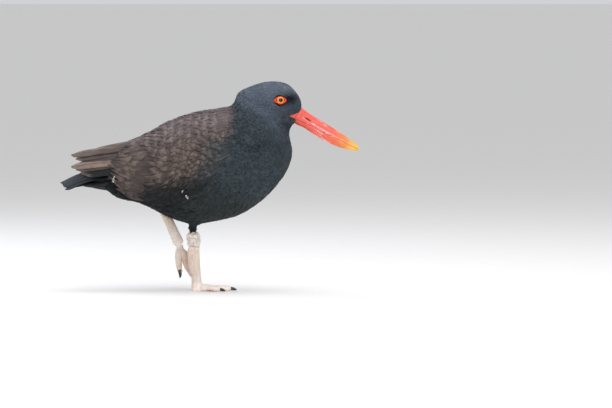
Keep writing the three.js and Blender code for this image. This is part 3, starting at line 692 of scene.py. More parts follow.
def makeCoat():
    head, back, ahead = headness(spots), onBack(spots), spots[:, 0] > 12
    onHead, onNeck = head > 0.72, (head <= 0.72) & (station > 9.3)
    rest = ~onHead & ~onNeck & ~back
    groups = {"headFeathers": onHead, "neckFeathers": onNeck, "mantleFeathers": back & ~onHead,
              "breastFeathers": rest & ahead, "bellyFeathers": rest & ~ahead}
    for name, chosen in groups.items():
        places, kind, slotName = spots[chosen], coat[name], "feathers_slate"
        size, colour = coatSpacing(places), bodyColour(places)
        length, half = size * 3.6, size * 1.02
        length = length * mix(1.0, 1.8, smooth(-places[:, 0], 92, 110))
        if name == "mantleFeathers":
            length, half, slotName = size * 2.7, size * 0.98, "feathers_brown"
            fringe = blend(colour * 1.25, tones["fringe"], 0.45 * smooth(colour[:, 0], 0.06, 0.12))
            kind = dict(kind, fringeColour=fringe)
        length = length * random.uniform(0.88, 1.12, len(places))
        layFeathers(name, kind, places, flow[chosen], length, half, colour)


makeCoat()


# the folded wing: rows of coverts and scapulars that follow its form, in shares of the wing

wingRows = [  # first and last a, first and last b, rows, feathers in a row, length, half width
    ((0.5, 0.6), (0.1, 0.46), 2, 5, 0.37, 0.06),  # tertials
    ((0.47, 0.6), (0.46, 0.95), 3, 9, 0.38, 0.042),  # secondaries
    ((0.35, 0.43), (0.43, 0.95), 3, 11, 0.22, 0.04),  # greater coverts
    ((0.22, 0.32), (0.42, 0.96), 4, 12, 0.15, 0.038),  # median coverts
    ((-0.02, 0.2), (0.34, 0.97), 7, 14, 0.115, 0.034),  # lesser coverts
    ((0.0, 0.5), (0.0, 0.44), 9, 7, 0.18, 0.052),  # scapulars
]
wingCoat = {"rows": 7, "columns": 6, "rootLift": -1.1, "tipLift": 0.4, "camber": 0.06, "fray": 0.03,
            "thick": 0.12, "loose": 0.16, "fringe": 0.6, "varied": 0.09, "shaft": 0.25, "round": 0.3,
            "rootWidth": 0.6, "tilt": -0.03, "shadow": -0.06}
wingSpan, wingDepth = 158.0, 98.0  # length of the folded wing's form, and its depth round the body


def wingColour(a, b, places):
    # brown, with painted shade taking it to black low on the flank where the wing curves under, and to slate
    # at its front
    x, _, z = places.T
    colour = blend(tones["wing"], tones["mantle"], smooth(-b, -0.55, -0.1))
    colour = blend(colour, tones["tip"], smooth(-x, 70, 100) * smooth(z, 130, 150))
    front = (1 - smooth(a, 0.02, 0.2)) * smooth(b, 0.3, 0.5)
    colour = blend(colour, tones["breast"], 0.75 * front)
    # painted shade on the lower rear of the wing, its edge made uneven
    uneven = random.normal(0, 3.5, len(b))
    low = smooth(x + uneven, -86, -54) * (1 - smooth(z + uneven - 0.12 * x, 124, 150))
    return blend(colour, tones["wingLow"], 0.95 * low)


def wingNormal(side, places):
    middle, tall, wide = wingSection(places[:, 0])
    y, z = places[:, 1], places[:, 2] - middle
    return unit(np.stack([np.zeros(len(y)), y / wide ** 2 + side * 1e-4, z / tall ** 2], -1))


def heldDown(places, held):
    # at the wing's front edge feathers lie down on the breast
    ground, normals = ontoSkin(places)
    return places + (ground + normals * 1.6 - places) * held, normals


def wingFeathers(sideName, side):
    a, b, long, half = [], [], [], []
    for fromTo, down, rows, count, longShare, halfShare in wingRows:
        for i in range(rows):
            across = (np.arange(count) + 0.5 * (i % 2)) / (count - 0.5)
            a.append(mix(*fromTo, i / max(rows - 1, 1)) + random.normal(0, 0.005, count))
            b.append(mix(*down, across) + random.normal(0, 0.004, count))
            long.append(np.full(count, longShare) * random.uniform(0.88, 1.1, count))
            half.append(np.full(count, halfShare) * random.uniform(0.94, 1.06, count))
    a, b, long, half = (np.concatenate(part) for part in (a, b, long, half))
    b = np.clip(b, 0.015, 1)
    slope = 0.05 * (1 - a) - 0.05 * smooth(a, 0.3, 0.6) + random.normal(0, 0.012, len(a))
    rear = 1.0 - 0.13 * (1 - smooth(b, 0.3, 0.6))
    long = np.minimum(long, rear - a + random.uniform(-0.09, 0.0, len(a)))
    roots, mids, tips = (onWing(side, a + long * t, np.clip(b + slope * t, 0, 1)) for t in (0, 0.5, 1))
    mids = 2 * mids - (roots + tips) / 2
    rootNormals, tipNormals = (wingNormal(side, places) for places in (roots, tips))
    heldRoots, heldTips = ((1 - smooth(place, 0.05, 0.24))[:, None] for place in (a, a + long))
    roots, groundNormals = heldDown(roots, heldRoots)
    rootNormals = unit(rootNormals + (groundNormals - rootNormals) * heldRoots)
    tips, _ = heldDown(tips, heldTips)
    mids = mids + ((roots + tips) / 2 - mids) * heldTips
    colour = wingColour(a, b, (roots + tips) / 2)
    fringe = blend(colour * 1.3, tones["fringe"], 0.35 * smooth(colour[:, 0], 0.03, 0.09))
    return featherField("wingCoverts_" + sideName, dict(wingCoat, fringeColour=fringe),
                        (roots, mids, tips), (rootNormals, tipNormals), long * wingSpan, half * wingDepth,
                        colour, bakePlace(roots))


for sideName, side in bothSides.items():
    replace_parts(wingFeathers(sideName, side), "wing_" + sideName)


# flight feathers: long stiff vanes with a shaft, placed one by one

usualQuill = {"grid": (22, 10), "fray": 0.012, "blunt": 11, "lead": 0.8, "round": 0.05, "thick": 0.35,
              "camber": 0.22}
flightFeathers = [  # root, tip, the way its upper side faces, half width, bow, tone
    # the two lowest quills take the wing's painted shade
    ((-62, 36, 150), (-134, 17, 140), (-0.05, 1, 0.42), 6.0, 2, "wingLow"),
    ((-66, 35, 145), (-139, 14.5, 142.5), (-0.05, 1, 0.45), 6.4, 2, "wingLow"),
    ((-70, 33, 156), (-144, 12.5, 146), (-0.06, 1, 0.55), 5.6, 1.6, "wing"),
    ((-72, 31.5, 158), (-150.5, 11.5, 149.5), (-0.08, 1, 0.7), 6.4, 1.6, "paleTip"),
    ((-74, 28, 165), (-141, 11, 153.5), (-0.1, 1, 0.8), 5.4, 1.5, "wing"),
    ((-74, 26.5, 167), (-145, 9, 158.5), (-0.1, 1, 0.85), 5.2, 1.5, "wing"),
    ((-72, 24, 174), (-151, 6.8, 163), (-0.1, 1, 0.95), 6.2, 1.5, "tip"),
    ((-66, 20, 180), (-128, 8, 168), (-0.1, 0.8, 1.1), 6.4, 1.2, "tip"),
    ((-60, 22, 181), (-114, 13, 169), (-0.1, 0.8, 1.0), 7.0, 1.6, "tip"),
    ((-64, 9, 183), (-128, 7, 164.5), (-0.2, 0.4, 1.0), 8.5, 1.0, "tip"),
    ((-72, 5, 178), (-137, 5.5, 160.5), (-0.2, 0.3, 1.0), 7.5, 1.0, "tip"),
]


def quill(root, tip, out, half, bow, tone, side=1, **own):
    places = {key: np.array(place, float) * (1, side, 1)
              for key, place in (("root", root), ("tip", tip), ("out", out))}
    return {**usualQuill, **places, "half": half, "bow": bow, "tone": tone, **own}


def quills(name, feathers, edgeTone, edgeShare, bakeFrom):
    # joins placed quills; each is first a vane along X in its own frame, its root at the origin
    parts = {"vertices": [], "faces": [], "colours": [], "vane": [], "bake": []}
    start = 0
    for i, feather in enumerate(feathers):
        root, tip, half = feather["root"], feather["tip"], feather["half"]
        length = np.linalg.norm(tip - root)
        u, v, faces = vaneGrid(*feather["grid"])
        frayed = feather["fray"] * random.uniform(-1, 1, len(u)) * smooth(u, 0.3, 1)
        blunt = np.sqrt(np.clip(1 - (0.97 * u) ** feather["blunt"], 0.01, 1))
        # the leading side of a flight feather is narrower
        y = half * ((0.5 + 0.5 * smooth(u, 0, 0.35)) * blunt) * np.where(v < 0, v, v * feather["lead"])
        x = length * (u - feather["round"] * v ** 2 * u ** 6 + frayed)
        shaftRise = 0.35 * np.exp(-(v / 0.12) ** 2) * (1 - 0.8 * u)
        z = feather["thick"] * (1 - v ** 2) + shaftRise - feather["camber"] * half * v ** 2
        z = z + feather["bow"] * np.sin(np.pi * np.clip(x / length, 0, 1))
        axis = (tip - root) / length
        across = unit(np.cross(feather["out"], axis))
        up = unit(np.cross(axis, across))
        parts["vertices"].append(root + axis * x[:, None] + across * y[:, None] + up * z[:, None])
        parts["faces"].append(faces + start)
        start += len(u)
        base = tones[feather["tone"]][None] * random.normal(1, 0.06)
        edge = np.clip(smooth(np.abs(v), 0.45, 1.0) * (v < 0) + smooth(u, 0.86, 1) * 0.7, 0, 1) * edgeShare
        shaft = np.exp(-(v / 0.1) ** 2) * 0.4
        colour = blend(base, tones[edgeTone], edge)
        # darker towards the root: painted shade where the quill lies under the feathers over it
        parts["colours"].append(colour * (1 - shaft)[:, None] * (0.75 + 0.25 * smooth(u, 0.2, 0.7))[:, None])
        parts["vane"].append(np.stack([y, x], -1))
        middle = np.array(bakeFrom) + np.array([0.04 * (i % 6), 0.05 * (i // 6)])
        parts["bake"].append(middle + np.stack([v * 0.012, u * 0.04], -1))
    vertices, faces, colours, vane, bake = (np.concatenate(part) for part in parts.values())
    piece = meshPiece(name, vertices * mm, faces)
    paint(piece, colours)
    addUv(piece, "vane", vane)
    addUv(piece, "OFBake", bake)
    finishPiece(piece, stiffPlumage)
    print(name, len(feathers), "quills")
    return piece


for sideName, side in bothSides.items():
    quills("flightFeathers_" + sideName, [quill(*row, side=side) for row in flightFeathers],
           "fringe", 0.75, (0.05, 0.1))

tailLook = {"pairs": 6, "root": (-97, 1.5, 146), "tip": (-163.5, 3.7, 130), "rootDrop": 8, "tipDrop": 9,
            "shorter": 7, "half": 6.4, "bow": 5.5}
tailCoverts = ((-84, 164, -124), (-76, 170, -112), (-66, 177, -102))  # root x and z, tip x of each row
collar = {"reaches": (-142, -134, -126), "feathers": 14}  # soft feathers all round the tail's root


def tailFeathers():
    look, feathers = tailLook, []
    short = partial(quill, grid=(8, 6))
    (rootX, rootY, rootZ), (tipX, tipY, tipZ) = look["root"], look["tip"]
    for i in np.arange(look["pairs"] - 0.5, 0, -1):
        outer = (i / look["pairs"]) ** 2
        for side in bothSides.values():
            root = (rootX, side * i * rootY, rootZ - look["rootDrop"] * outer)
            tip = (tipX + look["shorter"] * outer, side * i * tipY, tipZ - look["tipDrop"] * outer)
            feathers.append(quill(root, tip, (0, side * 0.07 * i, 1), look["half"], look["bow"], "tail",
                                  blunt=8, lead=0.95))
    # under the tail
    for i in (-2, -1, 0, 1, 2):
        climb = 1.1 * i * i
        feathers.append(short((-90, i * 5, 123 + climb), (-130 + 3 * i * i, i * 5.0, 125 + climb),
                              (0, 0.3 * i, -1), 6.4, 1.5, "vent", blunt=2, fray=0.06))
    # over the rump
    for row, (back, high, reach) in enumerate(tailCoverts):
        for i in np.arange(-3.5, 4) + 0.5 * (row % 2):
            drop = 0.32 * i * i
            feathers.append(short((back, i * 4.4, high - drop), (reach, i * 3.9, high - 20 + row - drop),
                                  (-0.3, 0.12 * i, 1), 4.4, 1.2, "wing", blunt=3, fray=0.03))
    for i in (-2.5, -1.5, -0.5, 0.5, 1.5, 2.5):
        feathers.append(short((-92, i * 3, 132), (-155 + i * i, i * 4.4, 124 + 0.5 * i * i),
                              (0, 0.15 * i, 1), 6.4, 2.5, "vent", blunt=6))
    for layer, reach in enumerate(collar["reaches"]):
        wide, tall = 9 + 1.5 * layer, 8 + 2.2 * layer
        for turn in np.linspace(0, 2 * math.pi, collar["feathers"], endpoint=False) + 0.2 * layer:
            out = (0, math.sin(turn), math.cos(turn))
            tip = (reach + random.uniform(-3, 3), wide * out[1] * 0.9, 133 + tall * 0.75 * out[2])
            feathers.append(short((-92, wide * out[1], 135 + (tall + 2) * out[2]), tip, out, 4.6, 1.0,
                                  "vent", blunt=3, fray=0.05))
    return feathers


tail = quills("tailFeathers", tailFeathers(), "tailSheen", 0.35, (0.4, 0.1))
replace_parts(tail, "tail")


# wisps of pale down caught on the wing

down = {"rows": 3, "columns": 2, "rootLift": 0.0, "tipLift": 0.5, "camber": 0.0, "fray": 0.3, "thick": 0.1,
        "at": [(-98, 137.5), (-98.8, 135), (-99.2, 133), (-16, 121.5), (-11.5, 116), (-10, 114)],
        "strands": 10, "half": 0.26}


def onWingHalf(x, z):
    # half width of the wing's form at a place seen from the side
    middle, tall, wide = wingSection(x)
    cosine = np.clip(abs((z - middle) / tall), 0, 1) ** (1 / bodyForm["squareness"])
    return float(wide * math.sqrt(1 - cosine ** 2) ** bodyForm["squareness"])


def downTufts():
    roots, tips = [], []
    for (x, z), side in product(down["at"], bothSides.values()):
        y = side * (onWingHalf(x, z) + 1.6)
        for _ in range(down["strands"]):
            turn = random.uniform(0, 2 * math.pi)
            roots.append(np.array([x, y, z]) + random.normal(0, 0.25, 3))
            tips.append(roots[-1] + np.array([math.cos(turn) * 1.3, side * 0.5, math.sin(turn) * 1.9]))
    roots, tips = np.array(roots), np.array(tips)
    count = len(roots)
    normals = np.stack([np.zeros(count), np.sign(roots[:, 1]), np.zeros(count)], -1)
    bakeAt = np.stack([np.linspace(0.1, 0.9, count), np.full(count, 0.5)], -1)
    featherField("paleDown", down, (roots, (roots + tips) / 2, tips), (normals, normals),
                 np.linalg.norm(tips - roots, axis=1), np.full(count, down["half"]),
                 np.repeat(tones["down"][None], count, 0), bakeAt)


downTufts()


def finishSkin():
    # the coat's markings, with their painted light and shade, over each place, a little darker
    places = verticesOf(skin) / mm
    a, b, far = wingPlace(places)
    underWing = smooth(-far, -8, -5) * smooth(a, 0.06, 0.14)
    paint(skin, blend(bodyColour(places), wingColour(a, b, places), underWing) * 0.9)
    addUv(skin, "vane", np.zeros((len(places), 2)))
    bakeSkin()
    finishPiece(skin, softPlumage)
    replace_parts(skin, "torso", "neck", "head", "thigh_right")


finishSkin()
print("skin painted")


# bill: a tube drawn out station by station, parted along the mouth, with the nostrils cut in

billForm = {
    "sides": 40,
    "x": [111, 116, 121, 127.8, 135.6, 147.6, 159.6, 171.6, 183.6, 190.5, 194],
    "culmen": [221, 222, 222.5, 218.4, 212.6, 205.2, 198, 190.2, 181.8, 177, 173.4],
    "keel": [207, 202, 198.8, 196, 190.8, 183, 177, 172.2, 169.2, 168, 168.7],
    "half": [6.5, 6.4, 6.2, 5.9, 5.2, 4.4, 3.7, 3, 2.3, 1.8, 1.2],
    "mouthFrom": (111.6, 210.4), "mouthTo": (194, 170), "mouthGap": 0.3, "core": 0.82,
    "nostril": (133, 206.2), "nostrilPitch": 31, "nostrilLong": 4.4, "nostrilTall": 0.8,
    "gapeTop": [(127.2, 219.2), (124, 216.2), (120.5, 214.0), (117, 212.4), (113.5, 211.3), (110.8, 210.5)],
    "gapeFoot": [(127.2, 203), (122, 203.8), (119, 205.8), (117, 207.4), (113.5, 209), (110.8, 210.1)],
    "gapeRise": 0.7, "bevel": 0.28 * mm, "bevelAngle": math.radians(50), "smoothAngle": math.radians(38),
    "nostrilOut": 5.6, "nostrilDeep": 1.5,
}


def billTube():
    tube = added(bpy.ops.mesh.primitive_circle_add, "billTube", vertices=billForm["sides"], radius=1,
                 fill_type="NGON", location=(0, 0, 0), rotation=(0, math.pi / 2, 0))
    applied(tube)
    places = np.linspace(0, len(billForm["x"]) - 1, 34)
    at = [spline(billForm[key], places) for key in ("x", "culmen", "keel", "half")]
    bpy.ops.object.mode_set(mode="EDIT")
    bpy.ops.mesh.select_all(action="SELECT")
    previous = None
    for x, culmen, keel, half in zip(*at):
        middle = Vector((x, 0, (culmen + keel) / 2)) * mm
        size = (half * mm, (culmen - keel) / 2 * mm)
        if previous is None:
            bpy.ops.transform.resize(value=(1, size[0], size[1]), center_override=(0, 0, 0))
            bpy.ops.transform.translate(value=middle)
        else:
            bpy.ops.mesh.extrude_region_move(TRANSFORM_OT_translate={"value": middle - previous[0]})
            bpy.ops.transform.resize(value=(1, size[0] / previous[1][0], size[1] / previous[1][1]),
                                     center_override=middle)
        previous = (middle, size)
    return edited(tube, bpy.ops.mesh.normals_make_consistent, inside=False)


def nostrilCutter(side):
    x, z = billForm["nostril"]
    cutter = added(bpy.ops.mesh.primitive_uv_sphere_add, "nostrilCutter", segments=20, ring_count=12,
                   radius=1, location=(x * mm, side * billForm["nostrilOut"] * mm, z * mm),
                   rotation=(0, math.radians(billForm["nostrilPitch"]), 0))
    cutter.scale = [billForm[key] * mm for key in ("nostrilLong", "nostrilDeep", "nostrilTall")]
    return applied(cutter)


def skinSide(side, x, z):
    # half width of the skin at places seen from the side
    away = Vector((0, -side, 0))
    hits = [skinTree.ray_cast(Vector((px, side * 60, pz)), away)[0] for px, pz in zip(x, z)]
    return np.array([abs(hit.y) if hit else 0.0 for hit in hits])


def gapeSkin():
    # the bill's bare edge runs back over the cheek to the corner of the mouth
    form, vertices = billForm, []
    places = np.linspace(0, len(form["gapeTop"]) - 1, 24)
    share = np.linspace(0, 1, 13)
    top, foot = (spline(form[key], places) for key in ("gapeTop", "gapeFoot"))
    grid = top[:, None] * (1 - share)[None, :, None] + foot[:, None] * share[None, :, None]
    x, z = grid.reshape(-1, 2).T
    culmen, keel, widest = (np.interp(x, form["x"], form[key]) for key in ("culmen", "keel", "half"))
    height = np.clip((2 * z - culmen - keel) / (culmen - keel), -1, 1)
    billHalf = widest * np.sqrt(1 - height ** 2)
    rounded = (1 - (2 * np.tile(share, len(places)) - 1) ** 4) * smooth(-x, -127.2, -122)
    for side in bothSides.values():
        half = mix(skinSide(side, x, z) + 0.5, billHalf, smooth(x, 118.5, 124))
        half = np.maximum(half, billHalf)
        for rise in (form["gapeRise"] * (0.25 + 0.75 * rounded), np.full(len(x), -1.6)):
            vertices.append(np.stack([x, side * (half + rise), z], -1))
    faces = sheetFaces(len(places), len(share))[:, ::-1]
    return sheetPiece("gapeSkin", vertices, np.concatenate([faces, faces + 2 * len(x)]))


def billCore(tube):
    # what closes the mouth's line from inside
    core = duplicate(tube, "billCore")
    co = verticesOf(core)
    middle = np.interp(co[:, 0], np.array(billForm["x"]) * mm,
                       (np.array(billForm["culmen"]) + np.array(billForm["keel"])) / 2 * mm)
    co[:, 1] *= billForm["core"]
    co[:, 2] = middle + (co[:, 2] - middle) * billForm["core"]
    co[:, 0] -= 1.0 * mm
    moveVertices(core, co)
    return core


def makeBill():
    tube = billTube()
    halves = {}
    start, end = (np.array(billForm[key]) for key in ("mouthFrom", "mouthTo"))
    slope = (end - start) / np.linalg.norm(end - start)
    for name, sign in (("billUpper", 1), ("billLower", -1)):
        normal = np.array([-slope[1], 0, slope[0]]) * sign
        point = np.array([start[0], 0, start[1]]) + normal * billForm["mouthGap"] / 2
        halves[name] = edited(duplicate(tube, name), bpy.ops.mesh.bisect, plane_co=point * mm,
                              plane_no=normal, use_fill=True, clear_inner=True)
        modified(halves[name], "BEVEL", width=billForm["bevel"], segments=2, limit_method="ANGLE",
                 angle_limit=billForm["bevelAngle"])
    for side in bothSides.values():
        cutter = nostrilCutter(side)
        modified(halves["billUpper"], "BOOLEAN", operation="DIFFERENCE", object=cutter, solver="EXACT")
        bpy.data.objects.remove(cutter)
    halves["billCore"] = billCore(tube)
    halves["gapeSkin"] = gapeSkin()
    bpy.data.objects.remove(tube)
    for piece in halves.values():
        makeActive(piece)
        bpy.ops.object.shade_smooth_by_angle(angle=billForm["smoothAngle"])
    return halves


def billHorn():
    # keratin horn, polished by use: coral at the base, orange and yellow towards the tip
    material, add, shader = newMaterial("polishedBillHorn", **{"Roughness": 0.3, "Coat Weight": 0.7,
                                        "Coat Roughness": 0.12, "Subsurface Weight": 0.06,
                                        "Subsurface Scale": 0.0015, "Subsurface Radius": (1.0, 0.25, 0.15)})
    coords = add("TexCoord"), "Object"
    start, end = (billForm[key] for key in ("mouthFrom", "mouthTo"))
    length = math.hypot(end[0] - start[0], end[1] - start[1]) * mm
    pitch = math.atan2(start[1] - end[1], end[0] - start[0])
    # turned so that X runs from the gape to the tip, 0 to 1, and Z up from the line of the mouth
    placed = add("VectorMath", {"operation": "SUBTRACT", 1: (start[0] * mm, 0, start[1] * mm)}, {0: coords})
    turned = add("Mapping", {"Rotation": (0, -pitch, 0), "Scale": (1, 1, 1)}, {"Vector": placed})
    scaled = add("VectorMath", {"operation": "SCALE", "Scale": 1 / length}, {0: turned})
    axes = add("SeparateXYZ", links={0: scaled})
    streakMap = add("Mapping", {"Scale": (60, 300, 420)}, {"Vector": turned})
    streaks = add("TexNoise", {"Scale": 1.0, "Detail": 5.0, "Roughness": 0.6}, {"Vector": streakMap})
    blotch = add("TexNoise", {"Scale": 160.0, "Detail": 3.0}, {"Vector": coords})
    wander = add("Math", {"operation": "MULTIPLY_ADD", 1: 0.14}, {0: streaks, 2: (axes, "X")})
    along = add("ValToRGB", links={"Fac": wander})
    setRamp(along, [(0.04, "#d93a22"), (0.14, "#e2462f"), (0.34, "#ea5244"), (0.58, "#ec5440"),
                    (0.72, "#ee6430"), (0.88, "#f28f2c"), (1.0, "#f6c04c")])
    high = add("MapRange", {"From Min": -0.08, "From Max": 0.13}, {"Value": (axes, "Z")})
    lit = add("MixRGB", {"blend_type": "MIX", "Color2": rgba("#f26458")}, {"Color1": along})
    share = add("Math", {"operation": "MULTIPLY", 1: 0.55}, {0: high})
    keep = add("MapRange", {"From Min": 0.62, "From Max": 0.9, "To Min": 1.0, "To Max": 0.0},
               {"Value": (axes, "X")})
    share = add("Math", {"operation": "MULTIPLY"}, {0: share, 1: keep})
    link(lit, {"Fac": share})
    patchy = add("MapRange", {"From Min": 0.3, "From Max": 0.7, "To Min": 0.88, "To Max": 1.06},
                 {"Value": blotch})
    final = add("MixRGB", {"blend_type": "MULTIPLY", "Fac": 1.0}, {"Color1": lit, "Color2": patchy})
    # pale streaks along the middle of the side: partly dry scuffs, partly a painted highlight
    scuffsAndHighlight = add("MapRange", {"From Min": 0.57, "From Max": 0.65}, {"Value": streaks})
    middle = add("Math", {"operation": "SUBTRACT", 1: 0.5}, {0: (axes, "X")})
    middle = add("Math", {"operation": "ABSOLUTE"}, {0: middle})
    middle = add("MapRange", {"From Min": 0.1, "From Max": 0.35, "To Min": 0.95, "To Max": 0.0},
                 {"Value": middle})
    scuffsAndHighlight = add("Math", {"operation": "MULTIPLY"}, {0: scuffsAndHighlight, 1: middle})
    final = add("MixRGB", {"blend_type": "MIX", "Color2": rgba("#ffd2c4")}, {"Color1": final, 0: scuffsAndHighlight})
    # painted shade, deep red, in the nostril's slit; the mouth's line is darkened with the same red
    x, z = billForm["nostril"]
    slitShade = add("VectorMath", {"operation": "SUBTRACT", 1: (x * mm, 0, z * mm)}, {0: coords})
    turn = (0, math.radians(billForm["nostrilPitch"]), 0)
    slitShade = add("Mapping", {"vector_type": "TEXTURE", "Rotation": turn, "Scale": (5.2 * mm, 1.0, 1.15 * mm)},
               {"Vector": slitShade})
    slitShade = add("SeparateXYZ", links={0: slitShade})
    slitShade = add("CombineXYZ", links={"X": (slitShade, "X"), "Z": (slitShade, "Z")})
    slitShade = add("VectorMath", {"operation": "LENGTH"}, {0: slitShade})
    slitShade = add("MapRange", {"From Min": 0.75, "From Max": 1.1, "To Min": 1.0, "To Max": 0.0},
               {"Value": (slitShade, "Value")})
    line = add("Math", {"operation": "ABSOLUTE"}, {0: (axes, "Z")})
    line = add("MapRange", {"From Min": 0.002, "From Max": 0.008, "To Min": 0.45, "To Max": 0.0},
               {"Value": line})
    dark = add("Math", {"operation": "MAXIMUM"}, {0: slitShade, 1: line})
    final = add("MixRGB", {"blend_type": "MIX", "Color2": rgba("#a01c0c")}, {"Color1": final, 0: dark})
    gloss = add("MapRange", {"From Min": 0.3, "From Max": 0.75, "To Min": 0.2, "To Max": 0.42},
                {"Value": streaks})
    bump = add("Bump", {"Strength": 0.35, "Distance": 0.25 * mm}, {"Height": streaks})
    link(shader, {"Base Color": final, "Roughness": gloss, "Normal": bump})
    return material


bill = makeBill()
hornMaterial = billHorn()
for piece in bill.values():
    finishPiece(piece, hornMaterial)
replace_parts(bill["billUpper"], "bill_upper")
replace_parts(bill["billLower"], "bill_lower")
print("bill made")


# eyes: a wet globe in a ring of bare skin that draws out to a corner at each end

eyeForm = {"x": 100.2, "z": 229.3, "radius": 6.2, "sunk": 4.2, "yaw": 14, "pitch": -9,
           "ringLong": 5.1, "ringTall": 3.7, "corner": 1.3, "ringHalf": 1.1,
           "ringThick": 1.15, "tube": 0.25}


def eyeMatrix(side):
    # the surface there, found as the body's form has it
    stations, angles = np.meshgrid(np.linspace(14, 19, 200), np.linspace(0.1, 3, 200), indexing="ij")
    grid = bodyPoint(stations, angles).reshape(-1, 3)
    near = np.hypot(grid[:, 0] - eyeForm["x"], grid[:, 2] - eyeForm["z"])
    y = grid[near.argmin(), 1]
    place = Matrix.Translation(Vector((eyeForm["x"], side * y, eyeForm["z"])) * mm)
    yaw = Matrix.Rotation(math.radians(-side * eyeForm["yaw"]), 4, "Z")
    pitch = Matrix.Rotation(math.radians(-side * eyeForm["pitch"]), 4, "X")
    return place @ yaw @ pitch


def eyeMaterial(sideName, matrix, side):
    # wet cornea over a yellow iris with fine spokes, a dark rim and a black pupil
    material, add, shader = newMaterial("wetEye_" + sideName, **{"Roughness": 0.06,
                                        "Specular IOR Level": 0.4})
    coords = add("TexCoord"), "Object"
    turn = matrix.to_euler()
    centre = matrix @ (Vector((0, -side * eyeForm["sunk"], 0)) * mm)
    placed = add("VectorMath", {"operation": "SUBTRACT", 1: tuple(centre)}, {0: coords})
    facing = add("Mapping", {"vector_type": "TEXTURE", "Rotation": tuple(turn)}, {"Vector": placed})
    axes = add("SeparateXYZ", links={0: facing})
    flat = add("CombineXYZ", links={"X": (axes, "X"), "Y": (axes, "Z")})
    reach = add("VectorMath", {"operation": "LENGTH"}, {0: flat})
    spin = add("Math", {"operation": "ARCTAN2"}, {0: (axes, "X"), 1: (axes, "Z")})
    spokes = add("CombineXYZ", {"Y": 0.0}, {"X": spin, "Z": (reach, "Value")})
    stretch = add("Mapping", {"Scale": (9, 1, 300)}, {"Vector": spokes})
    streak = add("TexNoise", {"Scale": 1.0, "Detail": 3.0}, {"Vector": stretch})
    edge = add("Math", {"operation": "MULTIPLY_ADD", 1: 0.0006}, {0: streak, 2: (reach, "Value")})
    share = add("MapRange", {"From Min": 0.0, "From Max": 6 * mm}, {"Value": edge})
    rings = add("ValToRGB", links={"Fac": share})
    setRamp(rings, [(0.0, "#010101"), (0.4, "#020202"), (0.43, "#8a4206"), (0.5, "#e89010"),
                    (0.62, "#f7b224"), (0.72, "#e07f10"), (0.8, "#5a1a08"), (1.0, "#3a0e08")])
    link(shader, {"Base Color": rings})
    return material


def ringMaterial():
    # bare waxy skin, orange red, with tiny beads
    material, add, shader = newMaterial("waxyEyeSkin", **{"Roughness": 0.42, "Subsurface Weight": 0.15,
                                        "Subsurface Scale": 0.002, "Subsurface Radius": (1.0, 0.3, 0.15)})
    coords = add("TexCoord"), "Object"
    beads = add("TexVoronoi", {"Scale": 1500.0}, {"Vector": coords})
    colour = add("ValToRGB", links={"Fac": beads})
    setRamp(colour, [(0.0, "#f2542e"), (0.5, "#e63a22"), (1.0, "#a81c12")])
    bump = add("Bump", {"Strength": 0.5, "Distance": 0.15 * mm, "invert": True}, {"Height": beads})
    link(shader, {"Base Color": colour, "Normal": bump})
    return material


def makeEye(sideName, side, waxy):
    form, matrix = eyeForm, eyeMatrix(side)
    globe = applied(added(bpy.ops.mesh.primitive_uv_sphere_add, "globe_" + sideName, segments=48,
                          ring_count=32, radius=form["radius"] * mm, rotation=(math.pi / 2, 0, 0)))
    co = verticesOf(globe)
    # the cornea stands a little proud of the ball
    front = np.clip(co[:, 1] * side / (form["radius"] * mm), 0, 1)
    co[:, 1] += side * 0.5 * mm * smooth(front, 0.72, 1)
    co[:, 1] -= side * form["sunk"] * mm
    moveVertices(globe, np.array([matrix @ Vector(v) for v in co]))
    ring = applied(added(bpy.ops.mesh.primitive_torus_add, "eyeRing_" + sideName, major_segments=96,
                         minor_segments=20, major_radius=1, minor_radius=form["tube"],
                         rotation=(math.pi / 2, 0, 0)))
    co = verticesOf(ring)
    around = np.arctan2(co[:, 2], co[:, 0])
    radial = np.hypot(co[:, 0], co[:, 2]) - 1
    corner = np.abs(np.cos(around)) ** 6
    bead = 1 + 0.07 * np.sin(around * 19 + 1) * np.sin(around * 7)
    across = form["ringHalf"] * (1 + 0.35 * corner)
    x = np.cos(around) * (form["ringLong"] + form["corner"] * corner + radial / form["tube"] * across * bead)
    z = np.sin(around) * (form["ringTall"] + radial / form["tube"] * across * bead)
    y = co[:, 1] / form["tube"] * form["ringThick"] * bead - side * (0.35 + 0.7 * corner)
    moveVertices(ring, np.array([matrix @ (Vector(v) * mm) for v in np.stack([x, y, z], -1)]))
    edited(ring, bpy.ops.mesh.normals_make_consistent, inside=False)
    wet = eyeMaterial(sideName, matrix, side)
    for piece, material, node, slotName in ((globe, wet, "eye_", "eye_globe"),
                                            (ring, waxy, "eyelid_", "eye_ring")):
        shadeSmooth(piece)
        finishPiece(piece, material)
        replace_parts(piece, node + sideName)


waxy = ringMaterial()
for sideName, side in bothSides.items():
    makeEye(sideName, side, waxy)
print("eyes made")


# legs and toes: one skin over each foot, netted with small raised scales

legLook = {"voxel": 0.55 * mm, "smoothing": 8, "scaleAcross": 1.7, "scaleRise": 0.28}
toeNames = ("inner", "middle", "outer")


